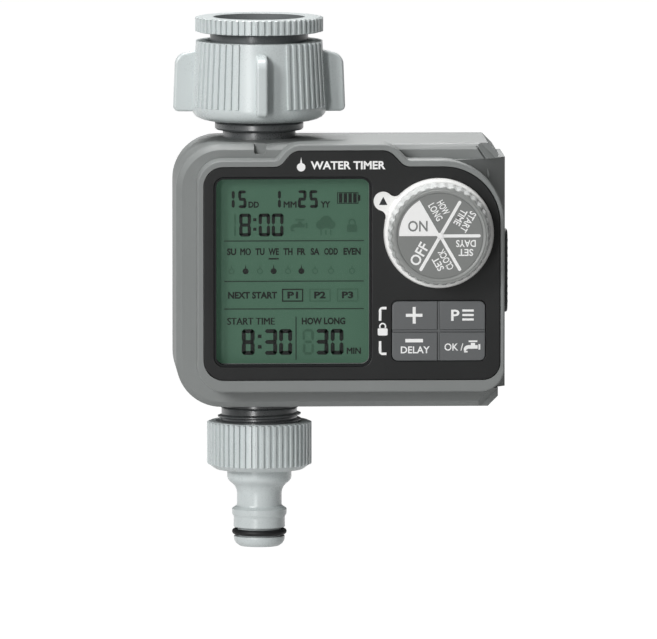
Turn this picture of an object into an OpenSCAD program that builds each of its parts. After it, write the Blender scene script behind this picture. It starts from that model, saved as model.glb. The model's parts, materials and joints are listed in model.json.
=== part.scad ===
// Garden tap water timer: inlet collar and adapter on top, a box with display, dial and keys,
// a quick-connect outlet below. Z = 0 is where the tap thread starts, on the water line.

/* [Tap adapter] */
// Depth of the open lip above the tap thread
lip_depth = 1.6; // [1:0.1:3]
// Radius of the adapter's knurled rim
rim_r = 20.25; // [19.5:0.05:21]
// Height of the knurled rim
rim_h = 4.8; // [4:0.1:7]
// Wall radius of the tap thread, G3/4 female
tap_thread_r = 12.06; // [12:0.01:12.2]
// Length of the tap thread
tap_thread_len = 10; // [9:0.5:11]
// Radius of the adapter's outer thread, G1 male
adapter_thread_r = 16.62; // [16.4:0.01:16.8]
// Length of the outer thread below the rim
adapter_thread_len = 16.2; // [16:0.1:18]

/* [Inlet collar] */
// Gap that shows between the rim and the collar
collar_gap = 2.7; // [2:0.1:4]
// Height of the collar
collar_h = 25.3; // [25:0.1:30]
// Radius of the collar at its top
collar_top_r = 20.8; // [20.5:0.1:21.5]
// Widest radius of the collar
collar_wide_r = 22; // [21.8:0.1:23]
// Reach of a wing from the water line
wing_r = 27.2; // [26:0.1:29]
// Thickness of a wing
wing_t = 3.6; // [3:0.1:5]
// Radius of the swivel tail inside the collar
tail_r = 9.5; // [9:0.1:9.8]

/* [Housing] */
// Width of the housing
housing_w = 101.2; // [101.2:0.2:125]
// Height of the housing
housing_h = 83; // [83:0.5:101]
// Depth from the recessed face to the back
housing_depth = 48; // [48:0.5:60]
// How far the face stands out of the recessed face
front_proud = 10.5; // [10.5:0.1:11]
// Distance from the water line to the left side
left_reach = 27; // [27:0.5:30]
// Wall of the rear housing
wall = 2.4; // [2.4:0.1:2.8]
// Wall of the front housing
front_wall = 2; // [2:0.1:2.2]
// Corner radius of the housing's left side
corner_r = 14.2; // [14:0.1:15]

/* [Face] */
// Bezel beside and above the panel
bezel = 1.9; // [1.5:0.1:2.2]
// Bezel below the panel
bezel_low = 3.6; // [3:0.1:4]
// Thickness of the black panel
panel_t = 2; // [1.8:0.1:2]
// Width of the display
display_w = 48; // [44:0.5:48]
// Height of the display
display_h = 58.3; // [50:0.1:58.3]
// Radius of the dial's base ring
dial_ring_r = 17.3; // [17:0.1:18]
// Radius of the dial knob
dial_r = 16.2; // [15.8:0.1:16.4]
// Height of the knob's face above the panel
dial_h = 10.9; // [10:0.1:14]
// Width of the block of four keys
keys_w = 29.2; // [28:0.1:30]
// Height of the block of four keys
keys_h = 18.7; // [18:0.1:19]
// Travel of a key
key_travel = 0.9; // [0.6:0.1:0.9]

/* [Valve] */
// Outer radius of the water tube inside the housing
tube_r = 9; // [8.6:0.1:9.4]
// Radius of the necks that pass through the housing
neck_r = 11.5; // [11.2:0.1:11.8]
// Radius of the valve chamber
chamber_r = 13; // [12.6:0.1:13]
// Travel of the solenoid plunger
plunger_travel = 1.8; // [1.5:0.1:1.8]
// Outer radius of the solenoid yoke
yoke_r = 8.4; // [8.2:0.1:8.6]

/* [Battery drawer] */
// Length of the battery block with its terminals
cell_len = 48.5; // [46:0.1:48.5]
// Height of the battery block
cell_h = 26.5; // [26:0.1:26.5]
// Thickness of the battery block
cell_t = 17.5; // [17:0.1:17.5]
// Thickness of the grip on the drawer
grip_out = 1.6; // [1.2:0.1:3]

/* [Outlet] */
// Radius of the outlet thread, G3/4 male
outlet_thread_r = 13.22; // [13:0.01:13.4]
// Length of the outlet thread
outlet_thread_len = 12.5; // [12.5:0.1:14]
// Radius of the connector's nut
nut_r = 16.6; // [16.2:0.1:18]
// Radius of the quick-connect spigot behind its seal
spigot_r = 8.15; // [8.1:0.01:8.2]
// Radius of the connector's bore
outlet_bore_r = 5.5; // [4.5:0.1:5.6]

/* [Fits] */
// Radial gap of pieces that turn or screw in each other
turn_gap = 0.08; // [0.05:0.01:0.1]
// Gap around pieces set in an opening
set_gap = 0.1; // [0.05:0.01:0.15]
// Gap around the sliding drawer
slide_gap = 0.25; // [0.2:0.05:0.3]

/* [Hidden] */
$fn = 96;
eps = 0.5; // overshoot of cuts
touch = 0.05; // gap between faces that meet across a joint

// Levels down the water line
z_rim = lip_depth;
z_rim_low = z_rim - rim_h;
z_thread_low = -tap_thread_len;
washer_t = 2.5;
z_seat = z_thread_low - washer_t;
z_adapter_low = z_rim_low - adapter_thread_len;
z_collar_top = z_rim_low - collar_gap;
z_collar_low = z_collar_top - collar_h;
z_tail_head = z_adapter_low - washer_t - 2 * touch;
tail_head_h = 3;
tail_head_r = adapter_thread_r - 1;
z_tail_shelf = z_tail_head - tail_head_h;
flange_h = 2.5;
flange_r = 14;
z_flange_top = z_collar_low - 0.3;
z_flange_low = z_flange_top - flange_h;
z_top = z_flange_low - 2.5;
z_bot = z_top - housing_h;
z_tail_low = z_top - 6;
z_valve = z_top - 20;
z_outlet = z_bot - 2.5;
z_thread_end = z_outlet - outlet_thread_len;

// Housing edges and depths
x_left = -left_reach;
x_right = x_left + housing_w;
y_face = -28;
y_front = y_face - front_proud;
y_split = y_face + 2.5;
y_back = y_face + housing_depth;
y_boss = -14;
chamfer_x = 3.2;
chamfer_z = 4.8;

// Face edges
side_skirt = 2.2;
shell_x0 = x_left + 6.2;
shell_x1 = x_right + 0.2 + side_skirt;
shell_z1 = z_top - 4.3;
shell_z0 = z_bot + 5.8;
hump_rise = 5.1;
panel_x0 = shell_x0 + bezel;
panel_x1 = shell_x1 - side_skirt;
panel_z1 = shell_z1 - bezel;
panel_z0 = shell_z0 + bezel_low;
hump_x0 = panel_x0 + 28.2;
hump_x1 = hump_x0 + 30.1;
plateau_x1 = shell_x1 - 0.3;
cavity_x0 = shell_x0 + front_wall;
cavity_x1 = plateau_x1 - front_wall;
cavity_z0 = shell_z0 + front_wall;
cavity_z1 = shell_z1 - front_wall;
y_panel = y_front + 0.4;
y_deck = y_panel + panel_t;
y_inner = y_deck + front_wall;
big_r = 18;
skirt_y = 9;
wrap_x = 44;
wrap_r = 40.6;

// Display stack
display_x0 = panel_x0 + 4.1;
display_z1 = panel_z1 - 4;
display_z0 = display_z1 - display_h;
display_x1 = display_x0 + display_w;
display_r = 2.5;
gasket_t = 0.8;
glass_t = 2.8;
glass_over = 1.3;
window_ledge = 0.6;
y_glass = y_inner + gasket_t;
y_board = y_glass + glass_t + 1.1;
board_t = 1.6;

// Dial and keys
dial_x = x_right - 19.3;
dial_z = z_top - 27.2;
lobe_out = 20.1;
lobe_r = 3;
ring_h = 2.5;
shaft_r = 3;
hub_r = 5.5;
hub_hole_r = 6.1;
keys_z = z_bot + 25;
groove = 0.8;
key_w = (keys_w - groove) / 2;
key_h = (keys_h - groove) / 2;
key_out = 0.8;
key_back = y_inner - 0.1 - key_travel - 0.1;
key_tip = y_inner + 1.2;
mat_t = 0.8;
stem_r = 2;
switch_y = key_tip + key_travel + 0.1;

// Housing screws: boss places as [x, z]
corner_in = corner_r - 5.8;
boss_r = 3.2;
sleeve_r = 4;
pilot_r = 1.25;
shank_r = 1.5;
head_r = 2.8;
side_boss = wall + boss_r + 0.4;
screw_at = [
    [x_left + corner_in, z_top - corner_in], [x_left + corner_in, z_bot + corner_in],
    [x_right - side_boss - 28.4, z_top - side_boss], [x_right - side_boss - 28.4, z_bot + side_boss],
    [x_right - side_boss, z_top - 10], [x_right - side_boss, z_bot + 8]
];
board_at = [
    [display_x1 + 6, cavity_z1 - 3.2], [display_x1 + 6, cavity_z0 + 2.9],
    [dial_x + 7.1, cavity_z1 - 3.4], [cavity_x1 - 3.3, cavity_z0 + 2.9]
];
post_r = 2.6;

// Valve along X
seat_x = 13;
chamber_x0 = 7.5;
face_x = 16;
diaphragm_t = 1.5;
bonnet_x = face_x + diaphragm_t;
bonnet_t = 5.5;
boss_x = bonnet_x + bonnet_t;
bobbin_x = boss_x + 3;
bobbin_len = 26;
bobbin_bore = 4.6;
bobbin_r = 6.2;
magnet_t = 2.9;
core_len = 8;
plunger_r = bobbin_bore - turn_gap;
core_x = bobbin_x + bobbin_len - core_len;
plunger_x = boss_x + 0.1;
plunger_end = core_x - plunger_travel - 0.2;
disc_travel = 1.2;
chamber_wall = 2.5;
barrel_r = chamber_r + chamber_wall;
seat_r = 7.2;
water_r = 5.6;
ear_at = barrel_r - 2.5;
ear_r = 3;

// Battery drawer
tray_wall = 1.3;
tray_y = -5;
tray_z = z_bot + 37.9;
tray_t = cell_t + 2 * tray_wall;
tray_h = cell_h + 2 * tray_wall;
plate_over = 2;
plate_x0 = x_right + 0.2;
cell_x1 = plate_x0 - 0.4;
cell_x0 = cell_x1 - cell_len;
bay_wall = 1.2;
contact_t = 1;
bay_x0 = cell_x0 - 0.1 - contact_t - bay_wall;
grip_h = 26.2;
grip_up = 3.1;
grip_w = 9;

// Outlet levels
nut_top = z_outlet - 4.4;
nut_h = 13.8;
nut_low = nut_top - nut_h;
nut_skirt = 1.5;
z_collar2 = nut_low - nut_skirt;
z_taper = z_collar2 - 2.7;
z_neck = z_taper - 3.5;
z_ring = z_neck - 6.3;
z_spigot = z_ring - 2;
spigot_len = 4;
z_groove = z_spigot - spigot_len;
groove_h = 2.8;
nose_h = 3.1;
z_end = z_groove - groove_h - nose_h;

// Cylinders along each axis and slabs in the plane of the face
module zcyl(z0, z1, r) {
    translate([0, 0, z0]) cylinder(h = z1 - z0, r = r);
}
module xcyl(x0, x1, r) {
    translate([x0, 0, 0]) rotate([0, 90, 0]) cylinder(h = x1 - x0, r = r);
}
module ycyl(y0, y1, r) {
    translate([0, y1, 0]) rotate([90, 0, 0]) cylinder(h = y1 - y0, r = r);
}
module slab(y0, y1) {
    translate([0, y1, 0]) rotate([90, 0, 0]) linear_extrude(y1 - y0) children();
}
module at(x, z) {
    translate([x, 0, z]) children();
}
// A box from one corner to the other
module block(x0, x1, y0, y1, z0, z1) {
    translate([x0, y0, z0]) cube([x1 - x0, y1 - y0, z1 - z0]);
}
// A flat rectangle with its own radius at each corner
module rounded(x0, z0, x1, z1, bl, br, tr, tl) {
    polygon([
        [x0 + bl, z0], [x1 - br, z0], [x1, z0 + br], [x1, z1 - tr],
        [x1 - tr, z1], [x0 + tl, z1], [x0, z1 - tl], [x0, z0 + bl]
    ]);
    translate([x0 + bl, z0 + bl]) circle(r = bl);
    translate([x1 - br, z0 + br]) circle(r = br);
    translate([x1 - tr, z1 - tr]) circle(r = tr);
    translate([x0 + tl, z1 - tl]) circle(r = tl);
}
// A ring that lies round the water line
module ring(z0, z1, r_in, r_out) {
    difference() {
        zcyl(z0, z1, r_out);
        zcyl(z0 - eps, z1 + eps, r_in);
    }
}
// The housing's outline, taken in by d
module outline(d) {
    x0 = x_left + d;
    x1 = x_right - d;
    z0 = z_bot + d;
    z1 = z_top - d;
    r = corner_r - d;
    polygon([
        [x0 + r, z0], [x1 - chamfer_x, z0], [x1, z0 + chamfer_z], [x1, z1 - chamfer_z],
        [x1 - chamfer_x, z1], [x0 + r, z1], [x0, z1 - r], [x0, z0 + r]
    ]);
    translate([x0 + r, z0 + r]) circle(r = r);
    translate([x0 + r, z1 - r]) circle(r = r);
}
// The raised middle above the panel
module hump(top, grow) {
    half = grow / 2;
    polygon([
        [hump_x0 - 4.3 - half, top], [hump_x0 - half, top + hump_rise],
        [hump_x1 + half, top + hump_rise], [hump_x1 + 4.8 + half, top],
        [hump_x1 + 4.8, top - 5], [hump_x0 - 4.3, top - 5]
    ]);
}
// The panel's outline, taken in by d
module panel_outline(d) {
    rounded(panel_x0 + d, panel_z0 + d, panel_x1 - d, panel_z1 - d, 6.5 - d, 5.5 - d, big_r - d, 6.2 - d);
    hump(panel_z1 - d, -d);
}
// The rim round the panel
module plateau_outline() {
    rounded(shell_x0, shell_z0, plateau_x1, shell_z1, 8.4, 7.4, big_r + bezel, 8.1);
    hump(shell_z1, bezel);
}
// The face's plan: straight in front, wrapped back on the right with a large radius
module face_plan() {
    wrap_at = x_right - 74.2 + wrap_x;
    polygon([
        [shell_x0, y_split], [shell_x0, y_front + 2.1], [wrap_at, y_front + 2.1],
        [wrap_at, y_face], [shell_x1, y_face], [shell_x1, y_split]
    ]);
    intersection() {
        translate([wrap_at, y_front + 2.1 + wrap_r]) circle(r = wrap_r, $fn = 200);
        translate([wrap_at - 1, y_front]) square([shell_x1 - wrap_at + 1, y_split - y_front]);
    }
}
// A pan-head screw along Y, its head at the back
module screw(y_tip, y_under, r, r_head, h_head) {
    ycyl(y_tip, y_under, r);
    ycyl(y_under, y_under + h_head, r_head);
}

module tap_adapter() color("gainsboro") {
    difference() {
        union() {
            zcyl(z_rim_low, z_rim, rim_r);
            zcyl(z_adapter_low, z_rim_low, adapter_thread_r);
        }
        zcyl(0, z_rim + eps, tap_thread_r + 2.2);
        zcyl(z_thread_low, eps, tap_thread_r);
        zcyl(z_seat, z_thread_low, tap_thread_r + 0.4);
        zcyl(z_adapter_low - eps, z_seat + eps, tap_thread_r - 3.5);
    }
}
module adapter_washer() color("#303234") {
    ring(z_seat, z_thread_low - set_gap, tap_thread_r - 3.4, tap_thread_r + 0.3);
}
module wing(turn) {
    rotate([0, 0, turn]) translate([0, wing_t / 2, 0]) rotate([90, 0, 0]) linear_extrude(wing_t)
        rounded(tail_r + 9, z_collar_low + 2.9, wing_r, z_collar_top - 2.7, 0.5, 1.6, 4, 0.5);
}
module inlet_collar() color("silver") {
    difference() {
        union() {
            rotate_extrude() polygon([
                [0, z_collar_low], [flange_r + 0.6, z_collar_low], [collar_wide_r - 2.1, z_collar_low + 1.3],
                [collar_wide_r - 0.6, z_collar_low + 2.8], [collar_wide_r, z_collar_low + 4.6],
                [collar_top_r, z_collar_top - 0.6],
                [collar_top_r - 0.6, z_collar_top], [0, z_collar_top]
            ]);
            for (turn = [0, 90, 180, 270]) wing(turn);
        }
        zcyl(z_tail_shelf - touch, z_collar_top + eps, adapter_thread_r + turn_gap);
        zcyl(z_collar_low - eps, z_collar_top, tail_r + turn_gap);
    }
}
module collar_washer() color("#303234") {
    ring(z_tail_head, z_adapter_low - touch, tap_thread_r - 2.4, tail_head_r);
}
module inlet_tail() color("gainsboro") {
    difference() {
        union() {
            zcyl(z_tail_shelf, z_tail_head, tail_head_r);
            zcyl(z_tail_low, z_tail_shelf + eps, tail_r);
        }
        zcyl(z_tail_head - 1.2, z_tail_head + eps, tail_r + 0.4);
        zcyl(z_tail_low - eps, z_tail_head, tail_r - 1.8);
        ring(z_tail_low + 1.6, z_tail_low + 3.4, tail_r - 1, tail_r + 1);
    }
}
module tail_oring() color("#202224") {
    translate([0, 0, z_tail_low + 2.5]) rotate_extrude() translate([tail_r - 0.45, 0]) circle(r = 0.5, $fn = 32);
}
module inlet_filter() color("#3d6db5") {
    cup_low = z_tail_head - 12;
    difference() {
        union() {
            zcyl(z_tail_head - 1.2, z_tail_head, tail_r + 0.3);
            zcyl(cup_low, z_tail_head, tail_r - 2.2);
        }
        zcyl(cup_low + 1.2, z_tail_head + eps, tail_r - 3.4);
        for (turn = [0 : 60 : 120]) rotate([0, 0, turn])
            block(-tail_r, tail_r, -2, 2, cup_low + 2.4, z_tail_head - 2.4);
    }
}
module valve_body() color("#4a4d50") {
    channel_z = z_valve + 7.1;
    difference() {
        union() {
            zcyl(z_flange_low, z_flange_top, flange_r);
            zcyl(z_valve, z_flange_low + eps, neck_r);
            zcyl(z_bot + 7, z_valve, tube_r);
            zcyl(z_outlet, z_bot + 9, neck_r);
            zcyl(z_thread_end, z_outlet + eps, outlet_thread_r);
            at(0, z_valve) difference() {
                union() {
                    xcyl(-10, face_x, barrel_r);
                    for (sy = [-1, 1], sz = [-1, 1]) translate([0, sy * ear_at, sz * ear_at])
                        xcyl(face_x - 5, face_x, ear_r);
                }
                difference() {
                    xcyl(chamber_x0, face_x + eps, chamber_r);
                    xcyl(chamber_x0 - eps, seat_x, seat_r);
                }
                for (sy = [-1, 1], sz = [-1, 1]) translate([0, sy * ear_at, sz * ear_at])
                    xcyl(face_x - 4, face_x + eps, 1);
            }
        }
        zcyl(z_tail_low - set_gap, z_flange_top + eps, tail_r + turn_gap);
        zcyl(channel_z, z_tail_low, tail_r - 1.8);
        block(0, chamber_x0 + eps, -5, 5, channel_z, channel_z + 4.4);
        at(0, z_valve) xcyl(-4, seat_x + eps, water_r);
        zcyl(z_thread_end - eps, z_valve, water_r);
        zcyl(z_thread_end - eps, z_outlet - 1, 8.2);
    }
}
module inlet_seal() color("#202224") {
    ring(z_top - wall - 1.6, z_top - wall - touch, neck_r + 0.02, neck_r + 1.8);
}
module outlet_seal() color("#202224") {
    ring(z_bot + wall + touch, z_bot + wall + 1.6, neck_r + 0.02, neck_r + 1.8);
}
module hose_connector() color("silver") {
    difference() {
        union() {
            rotate_extrude() polygon([
                [0, nut_top], [nut_r - 0.6, nut_top], [nut_r, nut_top - 0.6], [nut_r, nut_low],
                [nut_r - 2.6, z_collar2], [10.25, z_collar2], [10.25, z_taper], [8.1, z_taper - 2],
                [7.2, z_neck], [7.2, z_ring], [8.65, z_ring], [8.65, z_spigot], [0, z_spigot]
            ]);
            zcyl(z_groove, z_spigot + eps, spigot_r);
            zcyl(z_groove - groove_h, z_groove + eps, spigot_r - 1.35);
            rotate_extrude() polygon([
                [0, z_groove - groove_h], [spigot_r - 0.1, z_groove - groove_h],
                [spigot_r - 0.3, z_groove - groove_h - 1.3], [spigot_r - 1.6, z_end + 0.5],
                [spigot_r - 2.4, z_end], [0, z_end]
            ]);
        }
        zcyl(z_thread_end - washer_t - 2 * touch, nut_top + eps, outlet_thread_r + turn_gap);
        zcyl(z_end - eps, nut_top, outlet_bore_r);
    }
}
module connector_oring() color("#18191a") {
    translate([0, 0, z_groove - groove_h / 2]) rotate_extrude()
        translate([spigot_r - 1.35 + 0.95, 0]) circle(r = 0.9, $fn = 32);
}
module connector_washer() color("#303234") {
    ring(z_thread_end - washer_t - touch, z_thread_end - touch, 7, outlet_thread_r - 0.2);
}

module rear_housing() color("#8a8d8e") {
    difference() {
        union() {
            difference() {
                slab(y_split, y_back) outline(0);
                slab(y_split - eps, y_back - wall) outline(wall);
            }
            for (p = screw_at) at(p[0], p[1]) intersection() {
                ycyl(y_boss, y_back - 1, sleeve_r);
                translate([-p[0], 0, -p[1]]) slab(y_boss, y_back) outline(0.2);
            }
            for (z = [z_bot + 16, z_valve - 27]) difference() {
                block(-tube_r, tube_r, 1, y_back - 1, z, z + 3);
                zcyl(z - eps, z + 3 + eps, tube_r + set_gap);
            }
        }
        difference() {
            slab(y_split - eps, y_split + 1) outline(0.6);
            slab(y_split - 2 * eps, y_split + 2) outline(1.8);
        }
        for (p = screw_at) at(p[0], p[1]) {
            ycyl(y_boss - eps, y_back, shank_r + 0.2);
            ycyl(y_boss + 6, y_back + eps, head_r + 0.2);
        }
        zcyl(z_top - wall - eps, z_top + eps, neck_r + set_gap);
        zcyl(z_bot - eps, z_bot + wall + eps, neck_r + set_gap);
        block(x_right - wall - eps, x_right + eps, tray_y - tray_t / 2 - 0.8, tray_y + tray_t / 2 + 0.8,
              tray_z - tray_h / 2 - 0.8, tray_z + tray_h / 2 + 0.8);
    }
}
module front_housing() color("#7d8081") {
    difference() {
        union() {
            slab(y_face, y_split) outline(0);
            intersection() {
                slab(y_front, y_split) union() {
                    plateau_outline();
                    rounded(x_right - 34, shell_z0, shell_x1, shell_z1 - 0.5, 1.2, 1.2, 1.2, 1.2);
                }
                translate([0, 0, z_bot]) linear_extrude(housing_h + 10) face_plan();
            }
            slab(y_front, y_split) plateau_outline();
            block(plate_x0, shell_x1, y_face, skirt_y, shell_z0, shell_z1 - 0.5);
            for (p = screw_at) at(p[0], p[1]) ycyl(y_split - 1, y_boss, boss_r);
        }
        slab(y_front - eps, y_deck) panel_outline(0);
        slab(y_inner, y_split + eps) difference() {
            rounded(cavity_x0, cavity_z0, cavity_x1, cavity_z1, 6.4, 5.4, big_r + bezel - front_wall, 6.1);
            for (p = board_at) translate(p) circle(r = post_r);
        }
        for (p = board_at) at(p[0], p[1]) ycyl(y_board, y_split + eps, post_r);
        for (p = board_at) at(p[0], p[1]) ycyl(y_inner, y_board + eps, 1.1);
        for (p = screw_at) at(p[0], p[1]) ycyl(y_boss - 10, y_boss + eps, pilot_r);
        slab(y_deck - eps, y_inner + eps)
            rounded(display_x0, display_z0, display_x1, display_z1, display_r, display_r, display_r, display_r);
        slab(y_deck - eps, y_inner + eps) keys_opening();
        at(dial_x, dial_z) ycyl(y_deck - eps, y_inner + eps, hub_hole_r);
        block(plate_x0 - eps, shell_x1 + eps, tray_y - tray_t / 2 - plate_over - 0.2,
              tray_y + tray_t / 2 + plate_over + 0.2, tray_z - tray_h / 2 - plate_over - 0.2,
              tray_z + tray_h / 2 + plate_over + 0.2);
    }
}
module housing_seal() color("#202224") {
    slab(y_split, y_split + 1) difference() {
        outline(0.62);
        outline(1.78);
    }
}
module housing_screws() color("#b8babb") {
    for (p = screw_at) at(p[0], p[1]) screw(y_boss - 9, y_boss + 6, pilot_r, head_r, 2.2);
}

module keys_opening() {
    over = set_gap + 0.05;
    rounded(dial_x - keys_w / 2 - over, keys_z - keys_h / 2 - over, dial_x + keys_w / 2 + over,
            keys_z + keys_h / 2 + over, 1.95, 1.95, 1.95, 1.95);
}
module window_outline(grow) {
    r = display_r + grow;
    rounded(display_x0 - grow, display_z0 - grow, display_x1 + grow, display_z1 + grow, r, r, r, r);
}
module front_panel() color("#26282a") {
    difference() {
        slab(y_panel, y_deck) panel_outline(set_gap);
        slab(y_panel - eps, y_deck + eps) window_outline(window_ledge + set_gap);
        slab(y_panel - eps, y_deck + eps) keys_opening();
        at(dial_x, dial_z) ycyl(y_panel - eps, y_deck + eps, hub_hole_r + 0.9);
    }
}
module display_window() color([0.29, 0.42, 0.34, 0.5]) {
    slab(y_panel, y_deck) window_outline(window_ledge);
}
module window_gasket() color("#303234") {
    slab(y_inner, y_glass) difference() {
        translate([display_x0 - 1.2, display_z0 - 1.2]) square([display_w + 2.4, display_h + 2.4]);
        translate([display_x0 - 0.2, display_z0 - 0.2]) square([display_w + 0.4, display_h + 0.4]);
    }
}
module lcd_glass() color("#53735f") {
    block(display_x0 - glass_over, display_x1 + glass_over, y_glass, y_glass + glass_t,
          display_z0 - glass_over, display_z1 + glass_over);
}
module lcd_frame() color("#d9dbd9") {
    fit = glass_over + set_gap;
    out = fit + 1.5;
    slab(y_inner, y_board) difference() {
        rounded(display_x0 - out, display_z0 - out, display_x1 + out, display_z1 + out, 4, 4, 4, 4);
        translate([display_x0 - fit, display_z0 - fit]) square([display_w + 2 * fit, display_h + 2 * fit]);
    }
}
module contact_strips() color("#3c3e40") {
    for (z = [display_z0 + 1, display_z1 - 2.8])
        block(display_x0 + 2, display_x1 - 2, y_glass + glass_t, y_board, z, z + 1.8);
}
module main_board() color("#1f6b3f") {
    difference() {
        slab(y_board, y_board + board_t)
            rounded(cavity_x0 + 0.5, cavity_z0 + 0.5, cavity_x1 - 0.5, cavity_z1 - 0.5, 5.8, 4.8, big_r - 0.8, 5.6);
        for (p = board_at) at(p[0], p[1]) ycyl(y_board - eps, y_board + board_t + eps, 1.3);
    }
}
module board_screws() color("#b8babb") {
    for (p = board_at) at(p[0], p[1]) screw(y_inner + 0.3, y_board + board_t, 1.1, 2.3, 1.4);
}
module rotary_switch() color("#2b2d2f") {
    at(dial_x, dial_z) difference() {
        union() {
            ycyl(y_inner + 0.5, y_board, 8.5);
            block(-7.5, 7.5, y_inner + 1.5, y_board, -11, -6);
        }
        ycyl(y_inner, y_board - 1, shaft_r + turn_gap);
    }
}
module switch_shaft() color("#e8e8e4") {
    at(dial_x, dial_z) ycyl(y_panel - 7.4, y_board - 1.2, shaft_r);
}
module key_switches() color("#2f3133") {
    for (sx = [-1, 1], sz = [-1, 1])
        at(dial_x + sx * (key_w + groove) / 2, keys_z + sz * (key_h + groove) / 2)
            block(-3, 3, switch_y, y_board, -3, 3);
}
module keypad_mat() color("#34373a") {
    difference() {
        block(dial_x - keys_w / 2 - 1.9, dial_x + keys_w / 2 + 1.9, y_inner, y_inner + mat_t,
              keys_z - keys_h / 2 - 1.9, keys_z + keys_h / 2 + 1.9);
        for (sx = [-1, 1], sz = [-1, 1])
            at(dial_x + sx * (key_w + groove) / 2, keys_z + sz * (key_h + groove) / 2)
                ycyl(y_inner - eps, y_inner + mat_t + eps, stem_r + 0.4);
    }
}
// One key; sx and sz say which corner of the block it has
module key(sx, sz) {
    bl = (sx < 0 && sz < 0) ? 1.8 : 0.3;
    br = (sx > 0 && sz < 0) ? 1.8 : 0.3;
    tr = (sx > 0 && sz > 0) ? 1.8 : 0.3;
    tl = (sx < 0 && sz > 0) ? 1.8 : 0.3;
    at(dial_x + sx * (key_w + groove) / 2, keys_z + sz * (key_h + groove) / 2) {
        slab(y_panel - key_out, key_back)
            rounded(-key_w / 2, -key_h / 2, key_w / 2, key_h / 2, bl, br, tr, tl);
        ycyl(key_back - 0.2, key_tip, stem_r);
    }
}
module plus_key() color("#646769") {
    key(-1, 1);
}
module program_key() color("#646769") {
    key(1, 1);
}
module minus_key() color("#646769") {
    key(-1, -1);
}
module ok_key() color("#646769") {
    key(1, -1);
}

module dial_ring() color("#f2f2f0") {
    at(dial_x, dial_z) difference() {
        union() {
            ycyl(y_panel - ring_h, y_panel, dial_ring_r);
            rotate([0, 30, 0]) {
                at(-lobe_out, 0) ycyl(y_panel - 0.9, y_panel, lobe_r);
                block(-lobe_out, -10, y_panel - 0.9, y_panel, -1.9, 1.9);
            }
        }
        ycyl(y_panel - ring_h - eps, y_panel + eps, hub_hole_r + 0.9);
    }
}
module dial_knob() color("#d4d6d5") {
    y_top = y_panel - dial_h;
    at(dial_x, dial_z) difference() {
        union() {
            ycyl(y_top, y_panel - ring_h - 0.3, dial_r);
            ycyl(y_top + 1, y_inner + 0.2, hub_r);
        }
        difference() {
            ycyl(y_top + 2.6, y_inner, dial_r - 1.8);
            ycyl(y_top + 2, y_inner + eps, hub_r);
        }
        ycyl(y_top - eps, y_top + 0.5, dial_r - 2.5);
        ycyl(y_top + 3.4, y_inner + eps, shaft_r + 0.04);
        difference() {
            ycyl(y_inner - 1.7, y_inner - 0.3, hub_r + 1);
            ycyl(y_inner - 2, y_inner, hub_r - 0.8);
        }
    }
}
module dial_face() color("#838583") {
    at(dial_x, dial_z) ycyl(y_panel - dial_h + 0.1, y_panel - dial_h + 0.5, dial_r - 2.6);
}
module dial_oring() color("#202224") {
    at(dial_x, dial_z) translate([0, y_inner - 1, 0]) rotate([90, 0, 0]) rotate_extrude()
        translate([hub_r - 0.12, 0]) circle(r = 0.62, $fn = 32);
}

module valve_bonnet() color("#3e4144") {
    at(0, z_valve) difference() {
        union() {
            xcyl(bonnet_x, boss_x, barrel_r);
            xcyl(boss_x - eps, bobbin_x, yoke_r - 0.4);
            for (sy = [-1, 1], sz = [-1, 1]) translate([0, sy * ear_at, sz * ear_at])
                xcyl(bonnet_x, bonnet_x + 3, ear_r);
        }
        xcyl(bonnet_x - eps, bonnet_x + 3, chamber_r - 1);
        xcyl(bonnet_x, boss_x + eps, 1);
        xcyl(boss_x, bobbin_x + eps, bobbin_bore + 0.4);
        for (sy = [-1, 1], sz = [-1, 1]) translate([0, sy * ear_at, sz * ear_at]) {
            xcyl(bonnet_x - eps, boss_x + eps, 1.2);
            xcyl(bonnet_x + 3, boss_x + eps, 2.4);
        }
    }
}
module bonnet_screws() color("#b8babb") {
    at(0, z_valve) for (sy = [-1, 1], sz = [-1, 1]) translate([0, sy * ear_at, sz * ear_at]) {
        xcyl(face_x - 3.8, bonnet_x + 3, 1);
        xcyl(bonnet_x + 3, bonnet_x + 4.8, 2.2);
    }
}
module diaphragm() color("#27292b") {
    at(0, z_valve) difference() {
        xcyl(face_x, bonnet_x, barrel_r - 0.4);
        xcyl(face_x - eps, bonnet_x + eps, 4 + turn_gap);
        for (sy = [-1, 1], sz = [-1, 1]) translate([0, sy * ear_at, sz * ear_at])
            xcyl(face_x - eps, bonnet_x + eps, 3);
    }
}
module valve_disc() color("#5a5d60") {
    at(0, z_valve) {
        xcyl(seat_x + touch, seat_x + 1.6, seat_r - 0.4);
        xcyl(seat_x + 1, bonnet_x + 1.4, 4);
    }
}
module solenoid_plunger() color("#9a9da0") {
    at(0, z_valve) difference() {
        xcyl(plunger_x, plunger_end, plunger_r);
        xcyl(plunger_end - 8, plunger_end + eps, 2.6);
    }
}
module plunger_spring() color("#c4c6c8") {
    at(0, z_valve) difference() {
        xcyl(plunger_end - 8, core_x, 2.4);
        xcyl(plunger_end - 9, core_x + 1, 1.8);
    }
}
module solenoid_bobbin() color("#e6e2d6") {
    end = bobbin_x + bobbin_len;
    at(0, z_valve) difference() {
        union() {
            xcyl(bobbin_x, end, bobbin_r);
            xcyl(bobbin_x, bobbin_x + 1.5, yoke_r - 1.2);
            xcyl(end - 1.5, end, yoke_r - 1.2);
        }
        xcyl(bobbin_x - eps, end + eps, bobbin_bore);
    }
}
module solenoid_winding() color("#a8582a") {
    at(0, z_valve) difference() {
        xcyl(bobbin_x + 1.6, bobbin_x + bobbin_len - 1.6, yoke_r - 1.3);
        xcyl(bobbin_x, bobbin_x + bobbin_len, bobbin_r);
    }
}
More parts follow.
